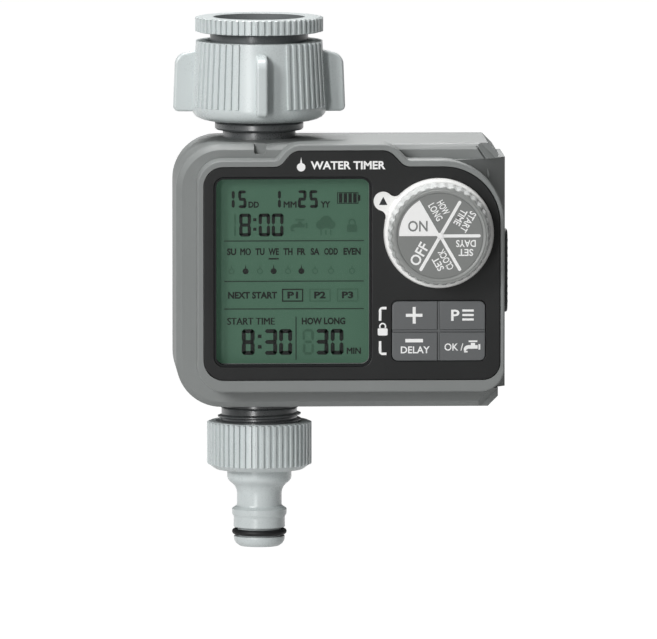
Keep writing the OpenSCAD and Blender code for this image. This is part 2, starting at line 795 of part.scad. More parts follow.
module solenoid_core() color("#8e9194") {
    at(0, z_valve) xcyl(core_x, core_x + core_len, bobbin_bore);
}
module solenoid_yoke() color("#787b7e") {
    end = bobbin_x + bobbin_len + magnet_t;
    at(0, z_valve) difference() {
        xcyl(bobbin_x, end + 1.6, yoke_r);
        xcyl(bobbin_x - eps, end, yoke_r - 1.2);
    }
}
module latching_magnet() color("#55585b") {
    end = bobbin_x + bobbin_len;
    at(0, z_valve) xcyl(end, end + magnet_t, yoke_r - 1.3);
}

module battery_bay() color("#6f7274") {
    reach_y = tray_t / 2 + slide_gap;
    reach_z = tray_h / 2 + slide_gap;
    difference() {
        block(bay_x0, x_right - wall, tray_y - reach_y - bay_wall, tray_y + reach_y + bay_wall,
              tray_z - reach_z - bay_wall, tray_z + reach_z + bay_wall);
        block(bay_x0 + bay_wall, x_right, tray_y - reach_y, tray_y + reach_y, tray_z - reach_z, tray_z + reach_z);
    }
}
module battery_drawer() color("#3a3d3f") {
    half_t = tray_t / 2;
    half_h = tray_h / 2;
    difference() {
        union() {
            block(cell_x0 + 2.4, plate_x0 + 0.1, tray_y - half_t, tray_y + half_t, tray_z - half_h, tray_z + half_h);
            block(plate_x0, shell_x1, tray_y - half_t - plate_over, tray_y + half_t + plate_over,
                  tray_z - half_h - plate_over, tray_z + half_h + plate_over);
            translate([shell_x1 - 0.1, tray_y, tray_z + grip_up]) rotate([0, 90, 0]) linear_extrude(grip_out + 0.1)
                rounded(-grip_h / 2, -grip_w / 2, grip_h / 2, grip_w / 2, 3, 3, 3, 3);
        }
        block(cell_x0, plate_x0, tray_y - half_t + tray_wall, tray_y + half_t + eps,
              tray_z - half_h + tray_wall, tray_z + half_h - tray_wall);
        difference() {
            block(x_right - 1.8, x_right - 0.4, tray_y - half_t - eps, tray_y + half_t + eps,
                  tray_z - half_h - eps, tray_z + half_h + eps);
            block(x_right - 2, x_right, tray_y - half_t + 0.6, tray_y + half_t + 1,
                  tray_z - half_h + 0.6, tray_z + half_h - 0.6);
        }
    }
}
module drawer_seal() color("#202224") {
    half_t = tray_t / 2;
    half_h = tray_h / 2;
    difference() {
        block(x_right - 1.8, x_right - 0.4, tray_y - half_t - 0.7, tray_y + half_t + 0.7,
              tray_z - half_h - 0.7, tray_z + half_h + 0.7);
        block(x_right - 2, x_right, tray_y - half_t + 0.6, tray_y + half_t, tray_z - half_h + 0.6, tray_z + half_h - 0.6);
    }
}
module battery() color("#b4762c") {
    gap = 0.1;
    block(cell_x0 + 2.2, cell_x1, tray_y - cell_t / 2 + gap, tray_y + cell_t / 2 - gap,
          tray_z - cell_h / 2 + gap, tray_z + cell_h / 2 - gap);
    for (side = [-1, 1]) translate([0, tray_y, tray_z + side * 6.35]) xcyl(cell_x0, cell_x0 + 2.3, 2.9);
}
module battery_contacts() color("#c9a94a") {
    for (side = [-1, 1]) translate([0, tray_y, tray_z + side * 6.35])
        block(bay_x0 + bay_wall, bay_x0 + bay_wall + contact_t, -4, 4, -4, 4);
}
// A lead that leaves along X and runs forward to the board
module lead(x0, x1, y, z) {
    translate([0, y, z]) xcyl(min(x0, x1), max(x0, x1), 0.6);
    translate([x1, y, z]) sphere(r = 0.6, $fn = 24);
    at(x1, z) ycyl(y_board + board_t, y, 0.6);
}
module battery_leads() color("#b03030") {
    for (side = [-1, 1]) lead(bay_x0, bay_x0 - 1.2, tray_y, tray_z + side * 6.35);
}
module solenoid_leads() color("#d8d8d4") {
    end = bobbin_x + bobbin_len + magnet_t + 1.6;
    for (side = [-1, 1]) lead(end, end + 1.2, 0, z_valve + side * 1.8);
}

tap_adapter();
adapter_washer();
inlet_collar();
collar_washer();
inlet_filter();
inlet_tail();
tail_oring();
valve_body();
inlet_seal();
outlet_seal();
hose_connector();
connector_oring();
connector_washer();
rear_housing();
front_housing();
housing_seal();
housing_screws();
front_panel();
display_window();
window_gasket();
lcd_glass();
lcd_frame();
contact_strips();
main_board();
board_screws();
rotary_switch();
switch_shaft();
key_switches();
keypad_mat();
dial_ring();
dial_knob();
dial_face();
dial_oring();
plus_key();
program_key();
minus_key();
ok_key();
valve_bonnet();
bonnet_screws();
diaphragm();
valve_disc();
solenoid_plunger();
plunger_spring();
solenoid_bobbin();
solenoid_winding();
solenoid_core();
solenoid_yoke();
latching_magnet();
battery_bay();
battery_drawer();
drawer_seal();
battery();
battery_contacts();
battery_leads();
solenoid_leads();
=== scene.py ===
import json
import math
import bpy
import bmesh
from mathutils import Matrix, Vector


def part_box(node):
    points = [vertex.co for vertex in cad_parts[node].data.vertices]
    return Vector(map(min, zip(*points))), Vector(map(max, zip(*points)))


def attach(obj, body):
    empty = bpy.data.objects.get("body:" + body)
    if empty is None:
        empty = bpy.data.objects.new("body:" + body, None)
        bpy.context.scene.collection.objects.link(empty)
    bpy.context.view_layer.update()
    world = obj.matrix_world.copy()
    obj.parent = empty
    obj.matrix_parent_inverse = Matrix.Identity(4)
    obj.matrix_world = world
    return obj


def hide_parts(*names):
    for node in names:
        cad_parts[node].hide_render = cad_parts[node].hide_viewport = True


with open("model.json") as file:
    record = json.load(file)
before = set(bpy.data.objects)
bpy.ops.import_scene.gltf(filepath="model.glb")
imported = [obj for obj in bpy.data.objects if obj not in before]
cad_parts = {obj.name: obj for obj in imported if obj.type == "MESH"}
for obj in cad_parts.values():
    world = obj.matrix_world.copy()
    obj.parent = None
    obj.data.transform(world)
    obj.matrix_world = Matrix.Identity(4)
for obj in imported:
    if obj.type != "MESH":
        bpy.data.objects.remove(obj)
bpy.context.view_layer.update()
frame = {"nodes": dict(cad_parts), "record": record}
mm = 0.001  # pieces are shaped in millimetres, and brought to metres when they are settled
scene = bpy.context.scene


# Where things are: every place comes from the frame.

def boxOf(node):
    low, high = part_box(node)
    return [v / mm for v in low], [v / mm for v in high]


housingLow, housingHigh = boxOf("rear_housing")
shellLow, shellHigh = boxOf("front_housing")
panelLow, panelHigh = boxOf("front_panel")
windowLow, windowHigh = boxOf("display_window")
rimLow, rimHigh = boxOf("tap_adapter")
collarLow, collarHigh = boxOf("inlet_collar")
outletLow, outletHigh = boxOf("hose_connector")
bodyLow, bodyHigh = boxOf("valve_body")
drawerLow, drawerHigh = boxOf("battery_drawer")
cellLow, cellHigh = boxOf("battery")
knobLow, knobHigh = boxOf("dial_knob")
glassLow = boxOf("lcd_glass")[0]
dialX, dialZ = (knobLow[0] + knobHigh[0]) / 2, (knobLow[2] + knobHigh[2]) / 2
keysX = (boxOf("plus_key")[0][0] + boxOf("ok_key")[1][0]) / 2
keysZ = (boxOf("ok_key")[0][2] + boxOf("plus_key")[1][2]) / 2
displayX, displayZ = (windowLow[0] + windowHigh[0]) / 2, (windowLow[2] + windowHigh[2]) / 2
windowEdge = 0.6  # the window rests on a ledge this wide
faceY = shellLow[1]  # plane of the bezel
recessY = faceY + 10.5  # plane of the recessed face behind it
splitY = housingLow[1]  # where the front and rear housings meet
backY = housingHigh[1]
print("frame read: face at", round(faceY, 1), "dial at", round(dialX, 1), round(dialZ, 1))


# Hand tools: select, edit, shape, cut, join and settle a piece.

def objectMode():
    if bpy.context.mode != "OBJECT":
        bpy.ops.object.mode_set(mode="OBJECT")


def only(*things):
    objectMode()
    bpy.ops.object.select_all(action="DESELECT")
    for thing in things:
        thing.select_set(True)
    bpy.context.view_layer.objects.active = things[0]
    return things[0]


def pick(piece, kind, test):
    only(piece)
    bpy.ops.object.mode_set(mode="EDIT")
    bpy.ops.mesh.select_mode(type=kind)
    bpy.ops.mesh.select_all(action="DESELECT")
    mesh = bmesh.from_edit_mesh(piece.data)
    mesh.normal_update()
    found = 0
    if kind == "FACE":
        for face in mesh.faces:
            if test(face.calc_center_median(), face.normal):
                face.select_set(True)
                found += 1
    elif kind == "EDGE":
        for line in mesh.edges:
            a, b = line.verts[0].co, line.verts[1].co
            if test((a + b) / 2, (b - a).normalized(), math.degrees(line.calc_face_angle(0))):
                line.select_set(True)
                found += 1
    else:
        for corner in mesh.verts:
            if test(corner.co):
                corner.select_set(True)
                found += 1
    bmesh.update_edit_mesh(piece.data)
    return found


def near(a, b, reach=0.02):
    return abs(a - b) < reach


def fresh(name):
    piece = bpy.context.active_object
    piece.name = name
    bpy.ops.object.transform_apply(location=True, rotation=True, scale=True)
    return piece


def nothing():
    objectMode()
    bpy.ops.object.select_all(action="DESELECT")


def apply(piece):
    only(piece)
    bpy.ops.object.transform_apply(location=True, rotation=True, scale=True)
    return piece


def move(piece, shift=(0, 0, 0), turn=(0, 0, 0)):
    piece.location = shift
    piece.rotation_euler = turn
    return apply(piece)


def editAll(piece):
    only(piece)
    bpy.ops.object.mode_set(mode="EDIT")
    bpy.ops.mesh.select_all(action="SELECT")


def block(name, x0, x1, y0, y1, z0, z1):
    nothing()
    middle = ((x0 + x1) / 2, (y0 + y1) / 2, (z0 + z1) / 2)
    bpy.ops.mesh.primitive_cube_add(size=1, location=middle, scale=(x1 - x0, y1 - y0, z1 - z0))
    return fresh(name)


def rod(name, radius, low, high, axis="Z", at=(0, 0), sides=64):
    nothing()
    along = (low + high) / 2
    where = {"Z": (at[0], at[1], along), "Y": (at[0], along, at[1]), "X": (along, at[0], at[1])}[axis]
    turn = {"Z": (0, 0, 0), "Y": (math.pi / 2, 0, 0), "X": (0, math.pi / 2, 0)}[axis]
    bpy.ops.mesh.primitive_cylinder_add(
        vertices=sides, radius=radius, depth=high - low, location=where, rotation=turn,
    )
    return fresh(name)


def turned(name, rings, sides=128, closed=True):
    nothing()
    bpy.ops.mesh.primitive_circle_add(vertices=sides, radius=rings[0][0], location=(0, 0, rings[0][1]))
    piece = fresh(name)
    editAll(piece)
    for (r0, z0), (r1, z1) in zip(rings, rings[1:] + (rings[:1] if closed else [])):
        bpy.ops.mesh.extrude_region_move(TRANSFORM_OT_translate={"value": (0, 0, z1 - z0)})
        bpy.ops.transform.resize(value=(r1 / r0, r1 / r0, 1), center_override=(0, 0, z1))
    bpy.ops.mesh.select_all(action="SELECT")
    if closed:
        bpy.ops.mesh.remove_doubles(threshold=0.002)
    else:
        bpy.ops.mesh.fill_holes(sides=0)
    bpy.ops.mesh.normals_make_consistent(inside=False)
    objectMode()
    return piece


def carve(piece, tool, how="DIFFERENCE"):
    only(piece)
    step = piece.modifiers.new("cut", "BOOLEAN")
    step.operation = how
    step.solver = "EXACT"
    step.object = tool
    bpy.ops.object.modifier_apply(modifier=step.name)
    bpy.data.objects.remove(tool)
    return piece


def merge(name, items):
    only(*items)
    bpy.ops.object.join()
    piece = bpy.context.active_object
    piece.name = name
    return piece


def copyOf(piece, turn=(0, 0, 0), shift=(0, 0, 0)):
    only(piece)
    bpy.ops.object.duplicate(linked=False)
    return move(bpy.context.active_object, shift, turn)


def bevelPicked(width, segments=3, profile=0.5):
    bpy.ops.mesh.bevel(
        offset=width, offset_type="OFFSET", segments=segments, profile=profile, affect="EDGES",
        clamp_overlap=True,
    )
    objectMode()


def roundCorner(piece, x, z, radius, segments=10):
    if pick(
        piece, "EDGE", lambda m, d, a: near(m.x, x, 0.05) and near(m.z, z, 0.05) and abs(d.y) > 0.99,
    ):
        bevelPicked(radius, segments)
    objectMode()


def tidy(piece, flat=0.5, gap=0.01):
    editAll(piece)
    bpy.ops.mesh.remove_doubles(threshold=gap)
    bpy.ops.mesh.dissolve_limited(angle_limit=math.radians(flat))
    objectMode()


def softFront(piece, y, width, segments=3):
    pick(piece, "EDGE", lambda m, d, a: near(m.y, y) and abs(d.y) < 0.01 and a > 30)
    bevelPicked(width, segments)


def cutAway(piece, point, normal):
    editAll(piece)
    bpy.ops.mesh.bisect(plane_co=point, plane_no=normal, clear_outer=True, use_fill=True)
    objectMode()


def soften(piece, width, segments=2, angle=35):
    tidy(piece, 0.3, 0.003)
    step = piece.modifiers.new("soft edges", "BEVEL")
    step.width = width
    step.segments = segments
    step.limit_method = "ANGLE"
    step.angle_limit = math.radians(angle)
    step.miter_outer = "MITER_ARC"
    bpy.ops.object.modifier_apply(modifier=step.name)


def standUp(piece, x=0, y=0, z=0):
    return move(piece, (x, y, z), (math.pi / 2, 0, 0))


def settle(piece, body, finish, slotName, *stands, angle=32):
    piece.scale = (mm, mm, mm)
    apply(piece)
    bpy.ops.object.shade_smooth_by_angle(angle=math.radians(angle))
    step = piece.modifiers.new("even shading", "WEIGHTED_NORMAL")
    step.keep_sharp = True
    bpy.ops.object.modifier_apply(modifier=step.name)
    piece.data.materials.clear()
    piece.data.materials.append(finish)
    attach(piece, body)
    if stands:
        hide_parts(*stands)
    return piece


# Shader maths: a Wire is a socket that adds its own Math nodes, a Recipe makes every other node.

class Wire:
    def __init__(self, recipe, socket):
        self.recipe = recipe
        self.socket = socket

    def math(self, operation, a, b):
        return self.recipe.node("ShaderNodeMath", {"operation": operation}, {0: a, 1: b})

    def __add__(self, other):
        return self.math("ADD", self, other)

    __radd__ = __add__

    def __mul__(self, other):
        return self.math("MULTIPLY", self, other)

    __rmul__ = __mul__

    def __sub__(self, other):
        return self.math("SUBTRACT", self, other)

    def __rsub__(self, other):
        return self.math("SUBTRACT", other, self)

    def __gt__(self, other):
        return self.math("GREATER_THAN", self, other)

    def __lt__(self, other):
        return self.math("LESS_THAN", self, other)


class Recipe:
    def __init__(self, name):
        self.material = bpy.data.materials.new(name)
        self.material.use_nodes = True
        self.tree = self.material.node_tree
        self.tree.nodes.clear()

    def node(self, kind, settings, sockets, out=0):
        made = self.tree.nodes.new(kind)
        for key, value in settings.items():
            if key == "stops":
                for i, (at, shade) in enumerate(value):
                    stop = made.color_ramp.elements[i] if i < 2 else made.color_ramp.elements.new(at)
                    stop.position = at
                    stop.color = (shade, shade, shade, 1)
            else:
                setattr(made, key, value)
        for key, value in sockets.items():
            if isinstance(value, Wire):
                self.tree.links.new(value.socket, made.inputs[key])
            else:
                made.inputs[key].default_value = value
        return Wire(self, made.outputs[out]) if made.outputs else made

    def place(self):
        return self.node("ShaderNodeTexCoord", {}, {}, "Object")

    def axes(self, where):
        first = self.node("ShaderNodeSeparateXYZ", {}, {"Vector": where})
        return [Wire(self, out) for out in first.socket.node.outputs]

    def noise(self, size, detail=2.0, where=None):
        sockets = {"Vector": where or self.place(), "Scale": 1 / (size * mm), "Detail": detail}
        return self.node("ShaderNodeTexNoise", {}, sockets, 0)

    def blend(self, factor, a, b):
        return self.node("ShaderNodeMix", {"data_type": "RGBA"}, {0: factor, 6: a, 7: b}, 2)

    def bump(self, height, depth, strength=1.0):
        return self.node(
            "ShaderNodeBump", {}, {"Height": height, "Distance": depth * mm, "Strength": strength},
        )

    def surface(self, sockets):
        shader = self.node("ShaderNodeBsdfPrincipled", {}, sockets)
        self.node("ShaderNodeOutputMaterial", {}, {"Surface": shader})
        return self.material


def ink(r, g, b, lift=1.0):
    def straight(v):
        v = v / 255
        return (v / 12.92 if v <= 0.04045 else ((v + 0.055) / 1.055) ** 2.4) * lift
    return (straight(r), straight(g), straight(b), 1)


def moulded(name, colour, rough=0.5, grainSize=0.35, grainDepth=0.012, mottle=0.06, ior=1.46, coat=0.0):
    r = Recipe(name)
    where = r.place()
    grain = r.noise(grainSize, 3.0, where)
    broad = r.noise(14, 3.0, where)
    flow = r.noise(3.2, 2.0, where)
    dark = tuple(v * (1 - mottle) for v in colour[:3]) + (1,)
    light = tuple(min(1, v * (1 + mottle)) for v in colour[:3]) + (1,)
    return r.surface({
        "Base Color": r.blend(broad * 0.7 + flow * 0.3, dark, light),
        "Roughness": grain * 0.14 + broad * 0.1 + (rough - 0.12),
        "Normal": r.bump(grain, grainDepth),
        "IOR": ior, "Coat Weight": coat, "Coat Roughness": 0.2,
    })


def metal(name, colour, rough=0.3, brush=0.4):
    r = Recipe(name)
    streak = r.noise(brush, 4.0)
    broad = r.noise(3, 3.0)
    worn = tuple(v * 0.72 for v in colour[:3]) + (1,)
    return r.surface({
        "Base Color": r.blend(broad, worn, colour), "Metallic": 1.0,
        "Roughness": streak * 0.25 + (rough - 0.1), "Normal": r.bump(streak, 0.006),
    })


# Finishes: colours as sRGB values of 0 to 255, then roughness, grain size, grain depth and mottle.

housingTone, fittingTone = ink(133, 136, 135), ink(206, 213, 213)
finishes = {
    "fitting_grey": moulded("light grey plastic", fittingTone, 0.29, 0.5, 0.005, 0.02, ior=1.55),
    "black_rubber": moulded("black rubber", ink(26, 27, 28), 0.55, 0.25, 0.01, 0.15),
    "filter_blue": moulded("filter blue", ink(60, 100, 170), 0.5),
    "valve_dark": moulded("dark grey plastic", ink(84, 87, 88), 0.29, 0.4, 0.005, 0.08, ior=1.9),
    "housing_grey": moulded("housing grey", housingTone, 0.5, 0.3, 0.014, 0.04),
    "front_grey": moulded("front grey", housingTone, 0.5, 0.3, 0.014, 0.04),
    "screw_steel": metal("zinc steel", ink(190, 192, 195), 0.32),
    "panel_black": moulded("black panel", ink(30, 31, 31), 0.4, 0.22, 0.004, 0.05),
    "inner_white": moulded("ivory plastic", ink(226, 222, 208), 0.5),
    "inner_black": moulded("inner black plastic", ink(38, 39, 41), 0.5),
    "dial_white": moulded("white gloss plastic", ink(244, 244, 242), 0.3, 0.6, 0.003, 0.01, coat=0.3),
    "dial_light": moulded("dial light grey", ink(205, 207, 206), 0.35, 0.6, 0.003, 0.02, coat=0.2),
    "dial_grey": moulded("dial face grey", ink(131, 133, 131), 0.5, 0.3, 0.005, 0.03),
    "key_grey": moulded("key grey", ink(100, 102, 103), 0.55, 0.25, 0.008, 0.03),
    "magnet_steel": metal("plated steel", ink(150, 152, 156), 0.38),
    "copper_wire": metal("enamelled copper", ink(184, 98, 52), 0.35, 0.12),
    "drawer_dark": moulded("drawer dark grey", ink(66, 68, 69), 0.45, 0.3, 0.01, 0.08),
    "contact_brass": metal("contact metal", ink(212, 190, 130), 0.28),
    "lead_red": moulded("red lead", ink(170, 36, 34), 0.5),
    "lead_white": moulded("white lead", ink(224, 224, 220), 0.5),
    "print_white": moulded("white print", ink(250, 250, 249), 0.5, 0.4, 0.002, 0.01),
    "print_grey": moulded("grey print", ink(122, 124, 123), 0.5, 0.4, 0.002, 0.02),
}


def windowFinish():
    clear = dict(rough=0.08, corner=2.5, dark=0.94)
    r = Recipe("display window")
    where = r.place()
    x, z = r.axes(where)[::2]
    halfW, halfH = ((windowHigh[i] - windowLow[i]) / 2 - windowEdge - clear["corner"] for i in (0, 2))

    def beyond(wire, middle, half):
        away = r.node("ShaderNodeMath", {"operation": "ABSOLUTE"}, {0: wire - middle * mm})
        return r.node("ShaderNodeMath", {"operation": "MAXIMUM"}, {0: away - half * mm, 1: 0.0})
    dx, dz = beyond(x, displayX, halfW), beyond(z, displayZ, halfH)
    far = r.node("ShaderNodeMath", {"operation": "SQRT"}, {0: dx * dx + dz * dz})
    mask = far > clear["corner"] * mm
    smear = r.noise(9, 2.0, where)
    return r.surface({
        "Base Color": r.blend(mask, (0.02, 0.03, 0.025, 1), ink(36, 37, 38)),
        "Roughness": smear * 0.1 + clear["rough"],
        "Alpha": mask * clear["dark"] + (1 - clear["dark"]),
    })


def lcdFinish():
    r = Recipe("display green")
    where = r.place()
    cells = r.noise(0.3, 2.0, where)
    cloud = r.noise(22, 2.0, where)
    green = r.blend(cloud * 0.6 + cells * 0.4, ink(60, 93, 75), ink(66, 101, 81))
    return r.surface({
        # The green also glows (Emission Strength 0.35): painted light that evens out the shadow cast by the
        # window's edges on the display.
        "Base Color": green, "Emission Color": green, "Emission Strength": 0.35,
        "Roughness": cells * 0.1 + 0.45, "Normal": r.bump(cells, 0.002),
    })


def boardFinish():
    r = Recipe("circuit board")
    where = r.place()
    tracks = r.node(
        "ShaderNodeTexBrick", {}, {"Vector": where, "Scale": 1 / (7 * mm), "Mortar Size": 0.03}, 1,
    )
    mottle = r.noise(2.5, 3.0, where)
    green = r.blend(mottle, ink(20, 84, 46), ink(30, 104, 58))
    return r.surface({
        "Base Color": r.blend(tracks * 0.6, green, ink(90, 150, 96)), "Roughness": mottle * 0.2 + 0.25,
    })


def wrapFinish():
    r = Recipe("battery wrap")
    where = r.place()
    band = r.axes(where)[0] > (cellLow[0] + 34) * mm
    scratch = r.noise(0.6, 4.0, where)
    colour = r.blend(band, ink(34, 36, 40), ink(186, 120, 52))
    return r.surface({
        "Base Color": colour, "Metallic": band * 0.6 + 0.2, "Roughness": scratch * 0.2 + 0.22,
    })


def toneSplitWithHollowShade(name, axis, level, below, above, rough, hollow=0.0):
    r = Recipe(name)
    where = r.place()
    axes = r.axes(where)
    grain = r.noise(0.4, 3.0, where)
    flow = r.noise(8, 2.0, where)
    upper = r.blend(flow, tuple(v * 0.97 for v in above[:3]) + (1,), above)
    lower = r.blend(flow, tuple(v * 0.94 for v in below[:3]) + (1,), below)
    # Within the hollow radius the darker colour is painted shade, standing in for the shadow inside a bore.
    outside = (axes[0] * axes[0] + axes[1] * axes[1] > (hollow * mm) ** 2) if hollow else 1.0
    return r.surface({
        "Base Color": r.blend((axes[axis] > level * mm) * outside, lower, upper),
        "Roughness": grain * 0.12 + flow * 0.08 + (rough - 0.1),
        "Normal": r.bump(grain, 0.006), "IOR": 1.46,
    })


finishes["window_clear"] = windowFinish()
finishes["lcd_green"] = lcdFinish()
finishes["board_green"] = boardFinish()
finishes["battery_wrap"] = wrapFinish()
# Adapter: darker grey below a level 5 mm under the rim top, and the same darker grey inside the mouth
# (radius 14.4 mm), where it is painted shade.
finishes["adapter_two_tone"] = toneSplitWithHollowShade(
    "adapter plastic", 2, rimHigh[2] - 5.0, ink(100, 104, 105), fittingTone, 0.29, 14.4,
)
finishes["knob_two_tone"] = toneSplitWithHollowShade(
    "knob plastic", 1, knobLow[1] + 0.75, ink(150, 152, 150), ink(214, 216, 215), 0.4,
)
finishes["lcd_ink"] = moulded("display segments", ink(16, 21, 18), 0.5, 0.3, 0.002, 0.05)
finishes["lcd_line"] = moulded("display lines", ink(34, 50, 42), 0.5, 0.3, 0.002, 0.05)
finishes["lcd_ghost"] = moulded("display unlit segments", ink(62, 98, 78), 0.5, 0.3, 0.002, 0.03)
for entry in frame["record"]["subparts"]:
    body = frame["nodes"][entry["node"]]
    body.data.materials.clear()
    body.data.materials.append(finishes[entry["material_slot"]])
print("finishes ready")


# The front housing: a flat rim, and a raised bezel with a hump and one big corner, round at the right.

def rimPlate(name, inset, y0, y1):
    edge = dict(left=14.2, chamferX=3.2, chamferZ=4.8)
    x0, x1 = housingLow[0] + inset, housingHigh[0] - inset
    z0, z1 = housingLow[2] + inset, housingHigh[2] - inset
    piece = block(name, x0, x1, y0, y1, z0, z1)
    for z in (z0, z1):
        roundCorner(piece, x0, z, edge["left"] - inset, 16)
    for z, way in ((z1, 1), (z0, -1)):
        cutAway(piece, (x1 - edge["chamferX"], 0, z), (edge["chamferZ"], 0, way * edge["chamferX"]))
    return piece


def faceOutline(name, x0, x1, z0, z1, y0, y1, corners, hump, bend=(1.6, 2.0)):
    piece = block(name, x0, x1, y0, y1, z0, z1)
    places = [(x0, z0), (x1, z0), (x1, z1), (x0, z1)]
    for (x, z), radius in zip(places, corners):
        roundCorner(piece, x, z, radius, 28 if radius > 12 else 12)
    baseLeft, topLeft, topRight, baseRight, top = hump
    crown = block("hump", baseLeft, baseRight, y0, y1, z1, top)
    pick(crown, "VERT", lambda v: v.z > z1 + 1 and v.x < 20)
    bpy.ops.transform.translate(value=(topLeft - baseLeft, 0, 0))
    pick(crown, "VERT", lambda v: v.z > z1 + 1 and v.x > 20)
    bpy.ops.transform.translate(value=(topRight - baseRight, 0, 0))
    pick(crown, "FACE", lambda c, n: n.z < -0.9)
    bpy.ops.mesh.extrude_region_move(TRANSFORM_OT_translate={"value": (0, 0, -5)})
    objectMode()
    carve(piece, crown, "UNION")
    tidy(piece)
    for x, z, which in ((baseLeft, z1, 0), (topLeft, top, 1), (topRight, top, 1), (baseRight, z1, 0)):
        roundCorner(piece, x, z, bend[which], 6)
    return piece


def humpPlaces(grow):
    left, half = panelLow[0] + 28.2, grow / 2
    right = left + 30.1
    return left - 4.3 - half, left - half, right + half, right + 4.8 + half, panelHigh[2] + grow


def wrapColumn(name, radius, low, high):
    return rod(name, radius, low, high, at=(44, faceY + 2.1 + 40.6), sides=320)


def clearOfWrap(piece, radius=40.6):
    tool = block("outside", 46, 82, faceY - 4, -18, housingLow[2] + 5.8, housingHigh[2] - 4.8)
    carve(tool, wrapColumn("wrap", radius, -130, -30))
    return carve(piece, tool)


def panelShape(name, grow, y0, y1):
    sizes = dict(low=6.5, right=5.5, big=18, left=6.2, hump=5.1)
    x0, x1 = panelLow[0] - grow, panelHigh[0] + grow
    z0, z1 = panelLow[2] - grow, panelHigh[2] - sizes["hump"] + grow
    corners = [v + grow for v in (sizes["low"], sizes["right"], sizes["big"], sizes["left"])]
    return faceOutline(name, x0, x1, z0, z1, y0, y1, corners, humpPlaces(grow))


def opening(name, low, high, radius, y0, y1, grow=0.0):
    hole = block(name, low[0] - grow, high[0] + grow, y0, y1, low[2] - grow, high[2] + grow)
    for x in (low[0] - grow, high[0] + grow):
        for z in (low[2] - grow, high[2] + grow):
            roundCorner(hole, x, z, radius, 8)
    return hole


screwPlaces = [
    (-18.6, -44.9), (-18.6, -111.1), (39.8, -42.5), (39.8, -113.5), (68.2, -46.5), (68.2, -111.5),
]
bezelX0, bezelX1 = shellLow[0] + 6.2, shellHigh[0]
bezelZ0, bezelZ1 = housingLow[2] + 5.8, housingHigh[2] - 4.3


def keysHole(y0, y1):
    half = (14.75, 0, 9.5)
    low, high = ([at + side * h for at, h in zip((keysX, 0, keysZ), half)] for side in (-1, 1))
    return opening("keys hole", low, high, 1.9, y0, y1)


def frontRim():
    size = dict(
        bands=((0.45, 1.2), (1.35, 1.2)), corner=14.2, slitTurn=-33.7, slitX=69.1, notch=(-2.6, 1.2),
        notchDeep=3.2,
    )
    rim = rimPlate("front shell", 0, recessY + 2.4, splitY)
    for narrower, forward in size["bands"]:
        pick(rim, "FACE", lambda c, n: n.y < -0.99)
        bpy.ops.mesh.inset(thickness=narrower, depth=forward)
        objectMode()
    cornerX, cornerZ = housingLow[0] + size["corner"], housingHigh[2] - size["corner"]
    dish = standUp(turned("dish", [(14.0, -1.0), (12.2, 0.02), (5.6, 3.4), (5.6, -1.0)], 96))
    move(dish, (cornerX, recessY, cornerZ), (0, 0, math.pi))
    cutAway(dish, (cornerX, 0, 0), (1, 0, 0))
    cutAway(dish, (0, 0, cornerZ), (0, 0, -1))
    carve(rim, dish)
    cutAway(rim, (68, recessY, bezelZ1 + 2.5), (4.8, -12.6, 3.2))
    cutAway(rim, (69.5, recessY, bezelZ0 - 2.5), (3.6, -12.6, -2.4))
    slit = block("slit", -0.25, 0.25, recessY - 2, recessY + 1.1, -1.9, 3.2)
    carve(rim, move(slit, (size["slitX"], 0, bezelZ1 + 0.8), (0, math.radians(size["slitTurn"]), 0)))
    notchZ = housingHigh[2] - size["notchDeep"]
    notch = block("notch", *size["notch"], recessY - 1, recessY + 2.3, notchZ, housingHigh[2] + 1)
    for x in size["notch"]:
        roundCorner(notch, x, notchZ, 0.9, 4)
    carve(rim, notch)
    return clearOfWrap(rim)


def frontWrap():
    size = dict(edge=0.8, outer=40.6, inner=39.4, reach=39, straightFrom=-20.5)
    side = housingHigh[0] + 0.2
    wrap = wrapColumn("wrap", size["outer"], bezelZ0, bezelZ1 - 0.5)
    cutAway(wrap, (size["reach"] + 1, 0, 0), (-1, 0, 0))
    cutAway(wrap, (bezelX1, 0, 0), (1, 0, 0))
    cutAway(wrap, (0, 4, 0), (0, 1, 0))
    behind = block("behind", size["reach"], side, splitY - 0.3, 5, bezelZ0 - 1, bezelZ1 + 1)
    carve(behind, wrapColumn("inner", size["inner"], bezelZ0 - 2, bezelZ1 + 2), "INTERSECT")
    carve(wrap, behind)
    straight = block("straight", size["reach"], side, size["straightFrom"], 5, bezelZ0 - 1, bezelZ1 + 1)
    carve(wrap, straight)
    carve(wrap, block("skirt", side, bezelX1, 3, shellHigh[1], bezelZ0, bezelZ1 - 0.5), "UNION")
    tidy(wrap, 0.3)

    def onEdge(m, d, a):
        return a > 60 and abs(d.z) < 0.1 and (m.x > bezelX1 - 0.1 or (m.y < splitY - 1 and m.x > 60))
    pick(wrap, "EDGE", onEdge)
    bevelPicked(size["edge"], 4)
    return wrap


def frontHollow():
    size = dict(wall=2, side=2.3, corners=(6.4, 5.4, 17.9, 6.1), roof=6.4, wrap=38.8)
    x0, x1 = bezelX0 + size["wall"], bezelX1 - size["side"]
    z0, z1 = bezelZ0 + size["wall"], bezelZ1 - size["wall"]
    hollow = block("hollow", x0, x1, faceY + size["roof"], splitY + 1, z0, z1)
    for (x, z), radius in zip(((x0, z0), (x1, z0), (x1, z1), (x0, z1)), size["corners"]):
        roundCorner(hollow, x, z, radius, 8)
    return clearOfWrap(hollow, size["wrap"])


